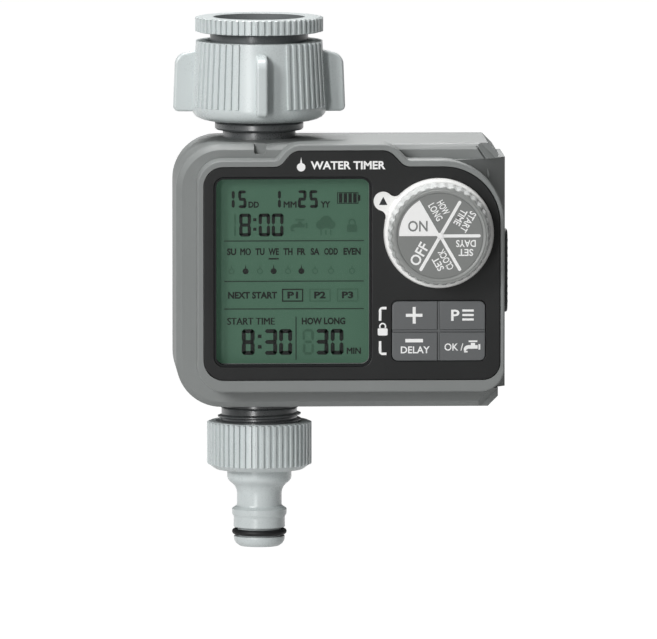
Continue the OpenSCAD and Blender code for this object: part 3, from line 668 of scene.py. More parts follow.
def frontShell():
    size = dict(bezel=1.9, corners=(8.4, 7.4, 19.9, 8.1), edge=0.55, boss=3.2, pilot=1.25, play=0.2)
    rim = frontRim()
    plateau = faceOutline(
        "bezel", bezelX0, bezelX1 - 1.0, bezelZ0, bezelZ1, faceY, splitY - 0.6, size["corners"],
        humpPlaces(size["bezel"]), (0.6, 3.2),
    )
    tidy(plateau)
    softFront(plateau, faceY, size["edge"], 4)
    wrap = frontWrap()
    piece = carve(rim, plateau, "UNION")
    carve(piece, wrap, "UNION")
    carve(piece, frontHollow())
    carve(piece, panelShape("recess", 0.06, faceY - 1, faceY + 4.4))
    inner = [[v + s * windowEdge for v in side] for side, s in ((windowLow, 1), (windowHigh, -1))]
    carve(piece, opening("display hole", *inner, 2.5, faceY + 3, faceY + 8))
    carve(piece, keysHole(faceY + 3, faceY + 9.6))
    carve(piece, rod("hub hole", 6.1, faceY + 3, faceY + 8, "Y", (dialX, dialZ)))
    y0, z0, y1, z1 = (
        v + s * size["play"]
        for side, s in ((drawerLow, -1), (drawerHigh, 1)) for v in side[1:]
    )
    carve(piece, block("drawer hole", housingHigh[0] - 0.5, bezelX1 + 1, y0, y1, z0, z1))
    bosses = []
    for place in screwPlaces:
        boss = rod("boss", size["boss"], splitY - 0.9, -14, "Y", place, 32)
        carve(boss, rod("pilot", size["pilot"], -24, -13, "Y", place, 24))
        bosses.append(boss)
    piece = merge("front_shell", [piece] + bosses)
    return settle(piece, "root", finishes["front_grey"], "front_grey", "front_housing", angle=28)


def rearShell():
    size = dict(wall=2.4, backRound=5.0, sleeve=4, way=1.7, head=3.0, neck=11.6, over=1.2, wrap=39.3)
    piece = rimPlate("rear shell", 0, splitY, backY)
    softFront(piece, backY, size["backRound"], 6)
    clearOfWrap(piece, size["wrap"])
    carve(piece, rimPlate("hollow", size["wall"], splitY - 1, backY - size["wall"]))
    for place in screwPlaces:
        sleeve = rod("sleeve", size["sleeve"], -14, backY - 2, "Y", place, 32)
        carve(sleeve, rimPlate("trim", 0.15, -20, backY + 4), "INTERSECT")
        carve(piece, sleeve, "UNION")
    for place in screwPlaces:
        carve(piece, rod("way", size["way"], -16, backY - 8, "Y", place, 24))
        carve(piece, rod("counterbore", size["head"], -8, backY + 1, "Y", place, 32))
    for z in (housingLow[2], housingHigh[2]):
        carve(piece, rod("neck hole", size["neck"], z - 3, z + 3, "Z", sides=96))
    y0, z0, y1, z1 = (
        v + s * size["over"]
        for side, s in ((drawerLow, 1), (drawerHigh, -1)) for v in side[1:]
    )
    carve(piece, block("drawer hole", housingHigh[0] - 4, housingHigh[0] + 1, y0, y1, z0, z1))
    piece.name = "rear_shell"
    return settle(piece, "root", finishes["housing_grey"], "housing_grey", "rear_housing", angle=28)


def gasket():
    size = dict(outer=0.62, inner=1.78, high=1.0, right=4.8, edge=0.2)
    piece = rimPlate("housing_gasket", size["outer"], splitY, splitY + size["high"])
    cutAway(piece, (housingHigh[0] - size["right"], 0, 0), (1, 0, 0))
    inside = rimPlate("inside", size["inner"], splitY - 1, splitY + 2)
    cutAway(inside, (housingHigh[0] - size["right"] - (size["inner"] - size["outer"]), 0, 0), (1, 0, 0))
    carve(piece, inside)
    pick(piece, "EDGE", lambda m, d, a: a > 60 and abs(d.y) < 0.1)
    bevelPicked(size["edge"], 2)
    return settle(piece, "root", finishes["black_rubber"], "black_rubber", "housing_seal")


frontShell()
print("front shell done")
gasket()
rearShell()
print("rear shell done")


# The black panel: the same outline, with holes for window, keys and dial.

def panel():
    size = dict(deep=4.4, edge=0.25, hub=7)
    piece = panelShape("panel", -0.1, panelLow[1], faceY + size["deep"])
    carve(piece, opening("window hole", windowLow, windowHigh, 3.15, faceY - 1, faceY + 6, 0.08))
    carve(piece, keysHole(faceY - 1, faceY + 6))
    carve(piece, rod("hub hole", size["hub"], faceY - 1, faceY + 6, "Y", (dialX, dialZ)))
    softFront(piece, panelLow[1], size["edge"], 2)
    piece.name = "black_panel"
    return settle(piece, "root", finishes["panel_black"], "panel_black", "front_panel", angle=28)


panel()
print("panel done")
# The fittings above the box: the threaded adapter, the winged collar and the swivel neck.

def raised(piece, depth, inset, test):
    pick(piece, "FACE", test)
    bpy.ops.mesh.inset(
        thickness=inset, depth=depth, use_boundary=True, use_even_offset=True, use_individual=False,
    )
    objectMode()


def around(c, sides):
    return math.degrees(math.atan2(c.y, c.x)) % 360 / 360 * sides


def thread(name, radius, depth, low, high, pitch, inward=False, sides=96):
    out = -1 if inward else 1
    nothing()
    bpy.ops.mesh.primitive_plane_add(size=1)
    piece = fresh(name)
    bpy.ops.object.mode_set(mode="EDIT")
    bpy.ops.mesh.delete(type="ONLY_FACE")
    objectMode()
    corners = [(-0.5, -0.5), (0.5, -0.5), (0.5, 0.5), (-0.5, 0.5)]
    foot, root, crest = radius - out * depth * 1.2, pitch * 0.42, pitch * 0.1
    ends = [(foot, low - root), (radius, low - crest), (radius, low + crest), (foot, low + root)]
    for (x, y), (r, z) in zip(corners, ends):
        pick(piece, "VERT", lambda v: near(v.x, x) and near(v.y, y) and near(v.z, 0))
        bpy.ops.transform.translate(value=(r - x, -y, z))
    objectMode()
    step = piece.modifiers.new("helix", "SCREW")
    step.axis = "Z"
    step.steps = sides
    step.render_steps = sides
    step.screw_offset = pitch
    step.iterations = max(1, int((high - low) / pitch))
    bpy.ops.object.modifier_apply(modifier=step.name)
    editAll(piece)
    bpy.ops.mesh.fill_holes(sides=4)
    bpy.ops.mesh.select_all(action="SELECT")
    bpy.ops.mesh.normals_make_consistent(inside=False)
    objectMode()
    return piece


def adapter():
    size = dict(ridges=60, ridgeDepth=0.8, rimHigh=4.8, mouth=14.26, root=15.5, crest=16.6, pitch=2.309,
                bore=12.06, cut=0.5, tapPitch=1.814, seat=12.4, way=8.6)
    top, low, end = rimHigh[2], rimHigh[2] - size["rimHigh"], rimLow[2]
    count = size["ridges"] * 2
    mouth, root, groove = size["mouth"], size["root"], size["bore"] + size["cut"]
    reach = rimHigh[0] - size["ridgeDepth"]
    piece = turned("adapter_rim", [
        (mouth, top - 0.3), (mouth + 0.3, top), (reach - 0.1, top), (reach, top - 0.1),
        (reach, low + 0.15), (reach - 0.3, low),
        (root + 0.6, low), (root, low - 0.6), (root, end + 0.8), (root - 0.8, end),
        (size["way"], end), (size["way"], -12.5), (size["seat"], -12.5), (size["seat"], -10.2),
        (groove, -9.9), (groove, -1.6), (mouth - 0.6, 0.2),
    ], count)

    def onRidge(c, n):
        return near(
            math.hypot(c.x, c.y), reach, 0.15,
        ) and low + 1 < c.z < top - 1 and int(around(c, count)) % 2 == 0
    raised(piece, size["ridgeDepth"] - 0.02, 0.14, onRidge)
    outer = thread(
        "outer thread", size["crest"], size["crest"] - root, end + 1.2, low - 1.4, size["pitch"],
    )
    inner = thread(
        "inner thread", size["bore"] + 0.02, -size["cut"], -9.0, -0.9, size["tapPitch"], True,
    )
    piece = merge("adapter_rim", [piece, outer, inner])
    return settle(
        piece, "adapter", finishes["adapter_two_tone"], "fitting_grey", "tap_adapter", angle=30,
    )


def collar():
    size = dict(columns=112, ribDepth=0.75, wing=3.6, wingReach=27.2, top=20.8, wide=22.0, bore=16.72)
    top, low = collarHigh[2], collarLow[2]
    wide, bore = size["wide"], size["bore"]
    piece = turned("inlet_collar_skin", [
        (bore, top - 0.4), (bore + 0.4, top), (size["top"] - 0.9, top), (size["top"] - 0.8, top - 0.1),
        (wide - 0.77, low + 4.6), (wide - 0.8, low + 3.4), (wide - 1.2, low + 2.3), (19.9, low + 1.3),
        (18.4, low + 0.6), (16.8, low + 0.2), (14.8, low), (9.7, low), (9.7, -25.0), (15.9, -25.0),
        (bore, -24.0),
    ], size["columns"])
    count = size["columns"]
    quarter = count // 4

    def onRib(c, n):
        column = int(around(c, count)) % quarter
        inside = low + 6 < c.z < top - 2 and math.hypot(c.x, c.y) > 19
        return inside and 7 <= column <= quarter - 7 and column % 2 == 1
    raised(piece, size["ribDepth"], 0.16, onRib)
    wings = []
    for turn in range(4):
        wing = block(
            "wing", size["bore"] + 2, size["wingReach"], -size["wing"] / 2, size["wing"] / 2, low + 2.9,
            top - 2.7,
        )
        pick(wing, "VERT", lambda v: v.x > size["wingReach"] - 0.1 and v.z > top - 3)
        bpy.ops.transform.translate(value=(-0.7, 0, -1.9))
        roundCorner(wing, size["wingReach"] - 0.7, top - 4.6, 2.8, 8)
        roundCorner(wing, size["wingReach"], low + 2.9, 1.8, 5)
        pick(wing, "EDGE", lambda m, d, a: abs(d.y) < 0.1 and m.x > 19.5 and a > 60)
        bevelPicked(0.85, 4)
        wings.append(move(wing, turn=(0, 0, turn * math.pi / 2)))
    piece = merge("inlet_collar_skin", [piece] + wings)
    return settle(piece, "collar", finishes["fitting_grey"], "fitting_grey", "inlet_collar", angle=34)


def waterWay():
    size = dict(
        flange=14.0, neck=11.5, thread=13.15, root=11.95, pitch=1.814, tail=9.58, chamberDown=20,
    )
    end = bodyLow[2]
    threadTop = housingLow[2] - 2.5
    tail = size["tail"]
    chamberZ = housingHigh[2] - size["chamberDown"]
    flange, neck, root = size["flange"], size["neck"], size["root"]
    head, roof = bodyHigh[2], housingHigh[2]
    top = turned("valve_tube", [
        (tail, head), (flange - 0.5, head), (flange, head - 0.5), (flange, head - 2.0),
        (flange - 0.5, head - 2.5),
        (neck + 0.4, head - 2.6), (neck, head - 3.0), (neck, roof - 9), (9, roof - 11),
        (9, housingLow[2] + 9),
        (neck, housingLow[2] + 7), (neck, threadTop + 0.2), (root + 0.3, threadTop),
        (root, threadTop - 0.4),
        (root, end + 1.2), (root - 0.9, end), (8.2, end), (8.2, threadTop - 1), (5.6, threadTop - 1),
        (5.6, roof - 14), (7.7, roof - 13), (7.7, roof - 6.2), (tail, roof - 6.2),
    ], 96)
    spiral = thread(
        "outlet thread", size["thread"], size["thread"] - size["root"], end + 1.4, threadTop - 0.9,
        size["pitch"],
    )
    barrel = rod("barrel", 15.5, -10, 16, "X", (0, chamberZ), 96)
    carve(barrel, rod("chamber", 13, 7.5, 17, "X", (0, chamberZ), 96))
    carve(barrel, rod("bore", 8.9, housingHigh[2] - 40, housingHigh[2], "Z", sides=96))
    pick(barrel, "EDGE", lambda m, d, a: near(m.x, -10) and a > 40)
    bevelPicked(1.6, 4)
    seat = rod("seat", 7.2, 6.8, 13, "X", (0, chamberZ), 64)
    carve(seat, rod("seat bore", 5.6, 6, 14, "X", (0, chamberZ), 64))
    parts = [top, spiral, barrel, seat]
    for side in (-1, 1):
        for up in (-1, 1):
            ear = rod("ear", 3, 11, 16, "X", (side * 13, chamberZ + up * 13), 32)
            carve(ear, rod("ear hole", 1, 12, 17, "X", (side * 13, chamberZ + up * 13), 16))
            parts.append(ear)
    piece = merge("valve_tube", parts)
    return settle(piece, "root", finishes["valve_dark"], "valve_dark", "valve_body", angle=30)


def connector():
    size = dict(ridges=52, depth=0.85, nut=16.6, bore=13.3)
    top, end = outletHigh[2], outletLow[2]
    nutLow = top - 13.8
    wall = size["nut"] - size["depth"]
    count = size["ridges"] * 2
    bore = size["bore"]
    spigot = [
        (10.2, 1.4), (10.2, 3.9), (10.0, 4.7), (9.5, 5.4), (8.5, 6.2), (7.7, 7.1), (7.25, 8.2),
        (7.1, 9.2),
        (7.1, 12.6), (7.3, 13.2), (8.5, 14.0), (8.65, 14.2), (8.65, 15.7), (8.5, 16.0), (8.2, 16.4),
        (8.1, 17.0),
        (8.15, 19.8), (7.9, 20.0), (6.85, 20.0), (6.85, 22.8), (8.0, 22.8), (8.1, 23.2), (7.9, 24.3),
        (7.3, 25.2),
    ]  # radius, and distance under the nut
    body = turned("outlet_connector", [
        (bore, top - 0.5), (bore + 0.5, top), (wall - 0.25, top), (wall, top - 0.25),
        (wall, nutLow + 0.1),
        (wall - 0.3, nutLow - 0.3), (14.3, nutLow - 1.2), (13.9, nutLow - 1.4),
    ] + [(radius, nutLow - under) for radius, under in spigot] + [
        (6.3, end), (5.5, end + 0.2), (5.5, nutLow + 2), (8.6, nutLow + 2), (bore, nutLow + 2.4),
    ], count)

    def onRidge(c, n):
        inside = nutLow + 1 < c.z < top - 1.3
        return inside and near(math.hypot(c.x, c.y), wall, 0.12) and int(around(c, count)) % 2 == 0
    raised(body, size["depth"] - 0.04, 0.16, onRidge)
    return settle(
        body, "connector", finishes["fitting_grey"], "fitting_grey", "hose_connector", angle=30,
    )


adapter()
collar()
waterWay()
connector()
print("fittings done")
# Lettering and signs: flat text made into mesh, scaled to its box and stood up on a face.

def word(text, x0, x1, z0, z1, y, bold=0.0):
    nothing()
    bpy.ops.object.text_add()
    piece = bpy.context.active_object
    piece.data.body = text
    piece.data.extrude = 0.03
    piece.data.offset = bold
    piece.data.resolution_u = 3
    bpy.ops.object.convert(target="MESH")
    xs = [v.co.x for v in piece.data.vertices]
    ys = [v.co.y for v in piece.data.vertices]
    grow = ((x1 - x0) / (max(xs) - min(xs)), (z1 - z0) / (max(ys) - min(ys)), 1)
    piece.scale = grow
    move(piece, (-grow[0] * (min(xs) + max(xs)) / 2, -grow[1] * (min(ys) + max(ys)) / 2, 0))
    return standUp(piece, (x0 + x1) / 2, y - 0.02, (z0 + z1) / 2)


def spinAbout(piece, x, z, degrees):
    move(piece, (-x, 0, -z))
    return move(piece, (x, 0, z), (0, math.radians(-degrees), 0))


def bar(x0, x1, z0, z1, y):
    return block("bar", min(x0, x1), max(x0, x1), y - 0.05, y, min(z0, z1), max(z0, z1))


def boxed(x0, x1, z0, z1, y, line):
    return [
        bar(x0, x1, z1 - line, z1, y), bar(x0, x1, z0, z0 + line, y),
        bar(x0, x0 + line, z0 + line, z1 - line, y), bar(x1 - line, x1, z0 + line, z1 - line, y),
    ]


def segment(x0, x1, z0, z1, y):
    piece = bar(x0, x1, z0, z1, y)
    pick(piece, "EDGE", lambda m, d, a: abs(d.y) > 0.9)
    bevelPicked(min(x1 - x0, z1 - z0) * 0.47, 1)
    return piece


litSegments = {"0": "abcdef", "1": "bc", "2": "abged", "3": "abgcd", "5": "afgcd", "8": "abcdefg"}


def digit(sign, x0, x1, z0, z1, y, stroke=0.95, gap=0.1):
    middle = (z0 + z1) / 2
    half = stroke / 2
    reach = {
        "a": (x0 + gap, x1 - gap, z1 - stroke, z1), "d": (x0 + gap, x1 - gap, z0, z0 + stroke),
        "g": (x0 + gap, x1 - gap, middle - half, middle + half),
        "f": (x0, x0 + stroke, middle + gap, z1 - gap), "e": (x0, x0 + stroke, z0 + gap, middle - gap),
        "b": (x1 - stroke, x1, middle + gap, z1 - gap), "c": (x1 - stroke, x1, z0 + gap, middle - gap),
    }
    return [segment(*reach[part], y) for part in litSegments[sign]]


def drop(x, z, size, y, hollow=False):
    piece = rod("drop", size, y - 0.05, y, "Y", (x, z), 16)
    pick(piece, "VERT", lambda v: v.z > z + size * 0.95)
    bpy.ops.transform.translate(value=(0, 0, size * 1.3))
    pick(piece, "VERT", lambda v: z + size * 0.8 < v.z < z + size * 1.2)
    bpy.ops.transform.resize(value=(0.62, 1, 1), center_override=(x, 0, z))
    objectMode()
    if hollow:
        carve(piece, rod("hollow", size * 0.66, y - 1, y + 1, "Y", (x, z), 12))
    return piece


# The display: the glass keeps its CAD shape, and carries the lit and unlit segments on its front.

def displayPrint():
    y = glassLow[1] - 0.02
    cx, cz = displayX + 0.45, displayZ - 0.6  # set for a look through the window from the left and above
    lit, lines, ghost = [], [], []

    def text(where, sign, u0, u1, v0, v1):
        if "M" in sign:  # this letter closes up when it is thickened, so it is printed twice
            for across, forward in ((-0.09, 0), (0.09, 0.012)):
                where.append(word(
                    sign, cx + u0 + across, cx + u1 + across, cz + v0, cz + v1, y - forward,
                ))
        else:
            where.append(word(sign, cx + u0, cx + u1, cz + v0, cz + v1, y, 0.042))

    def number(where, sign, u0, u1, v0, v1, stroke=0.95, gap=0.1):
        where.extend(digit(sign, cx + u0, cx + u1, cz + v0, cz + v1, y, stroke, gap))

    def dash(where, u0, u1, v0, v1):
        where.append(bar(cx + u0, cx + u1, cz + v0, cz + v1, y))

    def outline(where, u0, u1, v0, v1, line):
        where.extend(boxed(cx + u0, cx + u1, cz + v0, cz + v1, y, line))

    dates, clock, lengths, names = (20.3, 25.9), (11.4, 18.6), (-25.9, -17.8), (-8.2, -6.0)
    for sign, u0, u1 in (
        ("1", -19.6, -18.5), ("5", -17.4, -14.8), ("1", -5.1, -4.0), ("2", 1.3, 4.0), ("5", 4.9, 7.6),
    ):
        number(lit, sign, u0, u1, *dates)
    for sign, u0, u1 in (("DD", -14.2, -10.9), ("MM", -3.1, 0.8), ("YY", 8.4, 11.5)):
        text(lit, sign, u0, u1, 20.4, 22.4)
    dash(lit, 20.3, 20.9, 22.5, 24.3)
    outline(lit, 13.6, 20.3, 21.6, 25.2, 0.25)
    for i in range(4):
        dash(lit, 14.15 + i * 1.5, 15.25 + i * 1.5, 21.95, 24.85)
    for sign, u0, u1 in (("8", -17.1, -13.4), ("0", -11.0, -7.4), ("0", -6.9, -3.2)):
        number(lit, sign, u0, u1, *clock, 1.05)
    for v in (13.2, 16.2):
        dash(lit, -12.7, -11.7, v, v + 0.95)
    number(ghost, "1", -18.9, -18.1, *clock, 0.6)
    tapSign(ghost, cx + 1.9, cz + 14.8, 1.05, y)
    cloud = rod("cloud", 1.5, y - 0.05, y, "Y", (cx + 8.5, cz + 15.0), 20)
    for u, v, radius in ((10.2, 15.9, 2.0), (11.7, 15.0, 1.4)):
        carve(cloud, rod("puff", radius, y - 0.05, y, "Y", (cx + u, cz + v), 20), "UNION")
    ghost.append(cloud)
    for u in (8.4, 9.9, 11.4):
        dash(ghost, u, u + 0.4, 11.8, 13.4)
    lockSign(ghost, cx + 18.3, cz + 14.6, 1.2, y)
    for v in (9.8, -2.9, -11.6):
        dash(lines, -21.8, 22.0, v, v + 0.35)
    dash(lines, 0.55, 0.9, -13.9, -27.5)
    days = [
        ("SU", -19.5, 2.9), ("MO", -15.1, 3.2), ("TU", -10.6, 2.9), ("WE", -6.3, 3.3),
        ("TH", -1.8, 2.9),
        ("FR", 2.4, 2.7), ("SA", 6.7, 2.8), ("ODD", 11.7, 4.3), ("EVEN", 18.3, 5.4),
    ]
    for sign, u, wide in days:
        text(lit, sign, u - wide / 2, u + wide / 2, 5.5, 7.7)
        shown = sign in ("MO", "WE", "FR")
        (lit if shown else ghost).append(drop(cx + u, cz + 0.45, 0.95, y, not shown))
    dash(lit, -7.9, -4.7, 4.1, 4.6)
    for sign, u0, u1 in (
        ("NEXT START", -20.6, -5.2), ("P1", -2.0, 1.4), ("P2", 6.4, 10.0), ("P3", 15.1, 18.7),
    ):
        text(lit, sign, u0, u1, *names)
    for where, u, line in ((lit, -3.7, 0.4), (ghost, 4.9, 0.35), (ghost, 13.6, 0.35)):
        outline(where, u, u + 6.7, -9.2, -5.1, line)
    for sign, u0, u1 in (("START TIME", -20.8, -6.0), ("HOW LONG", 2.5, 16.2)):
        text(lit, sign, u0, u1, -16.4, -14.2)
    figures = (
        ("8", -16.3, -12.3), ("3", -9.2, -5.2), ("0", -4.6, -0.5), ("3", 7.0, 10.9), ("0", 11.6, 15.6),
    )
    for sign, u0, u1 in figures:
        number(lit, sign, u0, u1, *lengths, 1.25)
    for v in (-23.9, -20.6):
        dash(lit, -11.3, -10.1, v, v + 1.1)
    number(ghost, "8", 2.8, 6.3, *lengths, 0.8, 0.5)
    text(lit, "MIN", 16.7, 21.0, -25.7, -23.7)
    for name, pieces, finish in (
        ("display_segments", lit, "lcd_ink"), ("display_lines", lines, "lcd_line"),
        ("display_unlit", ghost, "lcd_ghost"),
    ):
        settle(merge(name, pieces), "root", finishes[finish], "lcd_green")


def tapSign(where, x, z, size, y):
    parts = [
        bar(x + x0 * size, x + x1 * size, z + z0 * size, z + z1 * size, y)
        for x0, x1, z0, z1 in (
            (-1.5, 1.5, -0.6, 0.5), (-0.6, 0.7, 0.5, 1.2), (-1.3, 1.4, 1.45, 1.95),
            (1.75, 2.3, -0.9, 0.8),
        )
    ]
    where.extend(parts)
    elbow = rod("spout", 1.3 * size, y - 0.05, y, "Y", (x - 1.5 * size, z - 0.85 * size), 24)
    carve(
        elbow, block("beyond", x - 1.5 * size, x + 4 * size, y - 1, y + 1, z - 4 * size, z + 4 * size),
    )
    carve(elbow, rod("inner", 0.6 * size, y - 1, y + 1, "Y", (x - 1.5 * size, z - 1.3 * size), 16))
    carve(
        elbow, block("below", x - 4 * size, x + 2 * size, y - 1, y + 1, z - 4 * size, z - 1.35 * size),
    )
    where.append(elbow)
    where.append(bar(x - 2.7 * size, x - 1.6 * size, z - 1.75 * size, z - 1.3 * size, y))


def lockSign(where, x, z, size, y):
    body = bar(x - 1.35 * size, x + 1.35 * size, z - 1.6 * size, z + 0.4 * size, y)
    pick(body, "EDGE", lambda m, d, a: abs(d.y) > 0.9)
    bevelPicked(0.35 * size, 3)
    shackle = rod("shackle", 0.98 * size, y - 0.05, y, "Y", (x, z + 0.9 * size), 32)
    carve(shackle, rod("inner", 0.6 * size, y - 1, y + 1, "Y", (x, z + 0.9 * size), 24))
    carve(shackle, block("below", x - 2, x + 2, y - 1, y + 1, z - 3, z + 0.5 * size))
    where.extend([body, shackle])


displayPrint()
print("display done")


# Dial: base ring with its lobe, the scalloped knob, and the face with its six sectors.

def dialRing():
    size = dict(r=17.3, inner=7.2, height=2.5, lobe=3.0, out=20.1, fillet=2.2, thick=0.9, at=150)
    inner, r, h = size["inner"], size["r"], size["height"]
    flat = turned("dial_base", [
        (inner, 0), (r - 0.02, 0), (r, 0.35), (r - 0.06, 1.5), (r - 0.4, 2.15), (r - 1.0, h),
        (inner, h),
    ], 144)
    lobe = rod("lobe", size["lobe"], 0, size["thick"], at=(size["out"], 0), sides=64)
    far = size["r"] + size["fillet"]
    short = size["lobe"] + size["fillet"]
    swing = math.acos((far ** 2 + size["out"] ** 2 - short ** 2) / (2 * far * size["out"]))
    fx, fy = far * math.cos(swing), far * math.sin(swing)
    root = block(
        "root", 12, size["out"] - size["lobe"] * (size["out"] - fx) / short, -fy, fy, 0, size["thick"],
    )
    carve(lobe, root, "UNION")
    for side in (-1, 1):
        carve(lobe, rod("fillet", size["fillet"], -1, 2, at=(fx, side * fy), sides=64))
    carve(lobe, rod("inside", 16.6, -1, 2, sides=96))
    soften(lobe, 0.18, 2, 50)
    move(lobe, turn=(0, 0, math.radians(size["at"])))
    piece = merge("dial_base", [flat, lobe])
    standUp(piece, dialX, panelLow[1] - 0.01, dialZ)
    settle(piece, "root", finishes["dial_white"], "dial_white", "dial_ring", angle=30)
    turn = math.radians(size["at"])
    x, z = dialX + 20.0 * math.cos(turn), dialZ + 20.0 * math.sin(turn)
    arrow = rod("dial_pointer", 1.55, panelLow[1] - 0.97, panelLow[1] - 0.8, "Y", (0, 0), 3)
    arrow.scale = (1.0, 1, 1.12)
    move(arrow, (x - 0.1, 0, z - 0.25))
    soften(arrow, 0.1, 2, 40)
    settle(arrow, "root", finishes["inner_black"], "dial_white")


def knob():
    size = dict(scallops=36, base=16.15, front=15.45, depth=0.42, shoulder=0.3, height=8.1)
    count = size["scallops"] * 6
    h = size["height"]
    base, front = size["base"], size["front"]
    piece = turned("dial_knob_skin", [
        (5.4, -6.0), (5.4, 0.4), (14.6, 0.4), (14.6, 0), (base - 0.3, 0), (base, 0.3),
        (front + 0.1, h - 0.9),
        (front - 0.15, h - 0.45), (front - 0.45, h - 0.2), (14.45, h - 0.2), (14.3, h), (13.75, h),
        (13.45, h - 0.25), (13.4, h - 0.55), (3.1, h - 0.55), (3.1, -6.0),
    ], count)
    low, high = 0.2, h - 0.2
    for column, deep in ((0, size["depth"]), (1, size["shoulder"]), (5, size["shoulder"])):
        def onColumn(v):
            outer = low < v.z < high and math.hypot(v.x, v.y) > 15.1
            return outer and round(around(v, count)) % 6 == column
        pick(piece, "VERT", onColumn)
        bpy.ops.transform.resize(value=(1 - deep / 16, 1 - deep / 16, 1), center_override=(0, 0, 0))
    objectMode()
    standUp(piece, dialX, panelLow[1] - 2.8, dialZ)
    settle(piece, "dial", finishes["knob_two_tone"], "dial_light", "dial_knob", angle=40)
    face = turned(
        "dial_face_skin",
        [(0.02, h - 0.5), (13.38, h - 0.5), (13.38, h - 0.2), (13.2, h - 0.1), (0.02, h - 0.1)], 128,
    )
    standUp(face, dialX, panelLow[1] - 2.8, dialZ)
    settle(face, "dial", finishes["dial_grey"], "dial_grey", "dial_face", angle=30)


def dialPrint():
    y = panelLow[1] - 2.8 - 8.0
    white, grey = [], []
    sector = rod("sector", 12.9, y - 0.05, y, "Y", (0, 0), 144)
    carve(sector, rod("centre", 1.0, y - 1, y + 1, "Y", (0, 0), 24))
    wide = math.radians(120)
    cutAway(sector, (0, 0, 0), (math.sin(wide), 0, -math.cos(wide)))
    cutAway(sector, (0, 0, 0), (0, 0, -1))
    white.append(move(sector, (dialX, 0, dialZ)))
    hub = rod("centre", 1.0, y - 0.05, y, "Y", (0, 0), 24)
    for turn in (0, 60, 240, 300):
        line = bar(0.86, 12.6, -0.5, 0.5, y)
        pick(line, "EDGE", lambda m, d, a: abs(d.y) > 0.9 and m.x > 12)
        bevelPicked(0.4, 3)
        white.append(move(spinAbout(line, 0, 0, turn), (dialX, 0, dialZ)))
    white.append(move(hub, (dialX, 0, dialZ)))
    grey.append(word("ON", dialX - 10.1, dialX - 4.0, dialZ + 1.4, dialZ + 4.8, y - 0.05, 0.012))
    off = word("OFF", dialX - 10.3, dialX - 2.9, dialZ - 7.4, dialZ - 4.0, y, 0.02)
    spinAbout(off, dialX - 6.6, dialZ - 5.7, 60)
    white.append(off)
    half = 1.12  # half the height of a label's letters
    labels = [
        (("HOW", "LONG"), (-0.3, 8.2), -60, (4.6, 5.8)),
        (("START", "TIME"), (7.5, 5.1), -120, (6.9, 5.3)),
        (("SET", "DAYS"), (8.0, -3.8), 180, (4.6, 6.2)),
        (("SET", "CLOCK"), (0.5, -8.1), 120, (4.4, 6.9)),
    ]
    for signs, (u, v), spin, widths in labels:
        x, z = dialX + u, dialZ + v
        for sign, wide, lift in zip(signs, widths, (1.4, -1.4)):
            label = word(sign, x - wide / 2, x + wide / 2, z + lift - half, z + lift + half, y, 0.02)
            white.append(spinAbout(label, x, z, spin))
    settle(merge("dial_lettering", white), "dial", finishes["print_white"], "dial_white")
    settle(merge("dial_on_word", grey), "dial", finishes["print_grey"], "dial_white")


dialRing()
knob()
dialPrint()
print("dial done")


# Keys: four soft-edged keys with printed signs, and a web in the grooves between them.

def keys():
    size = dict(
        w=14.2, h=8.95, groove=0.8, out=0.8, deep=5.7, corner=1.8, edge=0.35, web=0.36, webDown=0.5,
    )
    y = panelLow[1] - size["out"]
    for body, sx, sz in (("plus", -1, 1), ("program", 1, 1), ("minus", -1, -1), ("ok", 1, -1)):
        name, node = body + "_key_cap", body + "_key"
        cx, cz = keysX + sx * (size["w"] + size["groove"]) / 2, keysZ + sz * (size["h"] + size["groove"]) / 2
        x0, x1, z0, z1 = cx - size["w"] / 2, cx + size["w"] / 2, cz - size["h"] / 2, cz + size["h"] / 2
        cap = block(name, x0, x1, y, y + size["deep"], z0, z1)
        roundCorner(cap, x1 if sx > 0 else x0, z1 if sz > 0 else z0, size["corner"], 8)
        softFront(cap, y, size["edge"], 3)
        cap = merge(name, [cap, rod("stem", 2, y + 5.5, y + 8.0, "Y", (cx, cz), 32)])
        settle(cap, body, finishes["key_grey"], "key_grey", node, angle=30)
    x, z = keysX, keysZ
    top = y - 0.01
    signs = {
        "plus": [
            bar(x - 10.3, x - 5.1, z + 4.5, z + 5.45, top),
            bar(x - 8.17, x - 7.22, z + 2.35, z + 4.5, top),
            bar(x - 8.17, x - 7.22, z + 5.45, z + 7.6, top),
        ],
        "program": [word("P", x + 3.9, x + 6.5, z + 3.2, z + 6.7, top, 0.02)] + [
            bar(x + 7.4, x + 11.0, z + v - 0.34, z + v + 0.34, top)
            for v in (6.4, 5.0, 3.6)
        ],
        "minus": [
            bar(x - 10.47, x - 4.93, z - 3.55, z - 2.45, top),
            word("DELAY", x - 11.9, x - 2.8, z - 7.0, z - 4.8, top, 0.02),
        ],
        "ok": [word("OK /", x + 1.8, x + 7.7, z - 6.2, z - 3.9, top, 0.012)],
    }
    tapSign(signs["ok"], x + 10.7, z - 5.0, 1.02, top)
    for body, pieces in signs.items():
        settle(merge(body + "_sign", pieces), body, finishes["print_white"], "dial_white")
    half, webY = size["web"], y + size["webDown"]
    web = block("key_web", x - half, x + half, webY, y + 4, z - 9.3, z + 9.3)
    carve(web, block("across", x - 14.5, x + 14.5, webY, y + 4, z - half, z + half), "UNION")
    pick(web, "EDGE", lambda m, d, a: near(m.y, webY) and a > 40)
    bevelPicked(0.12, 2)
    settle(web, "root", finishes["key_grey"], "key_grey")


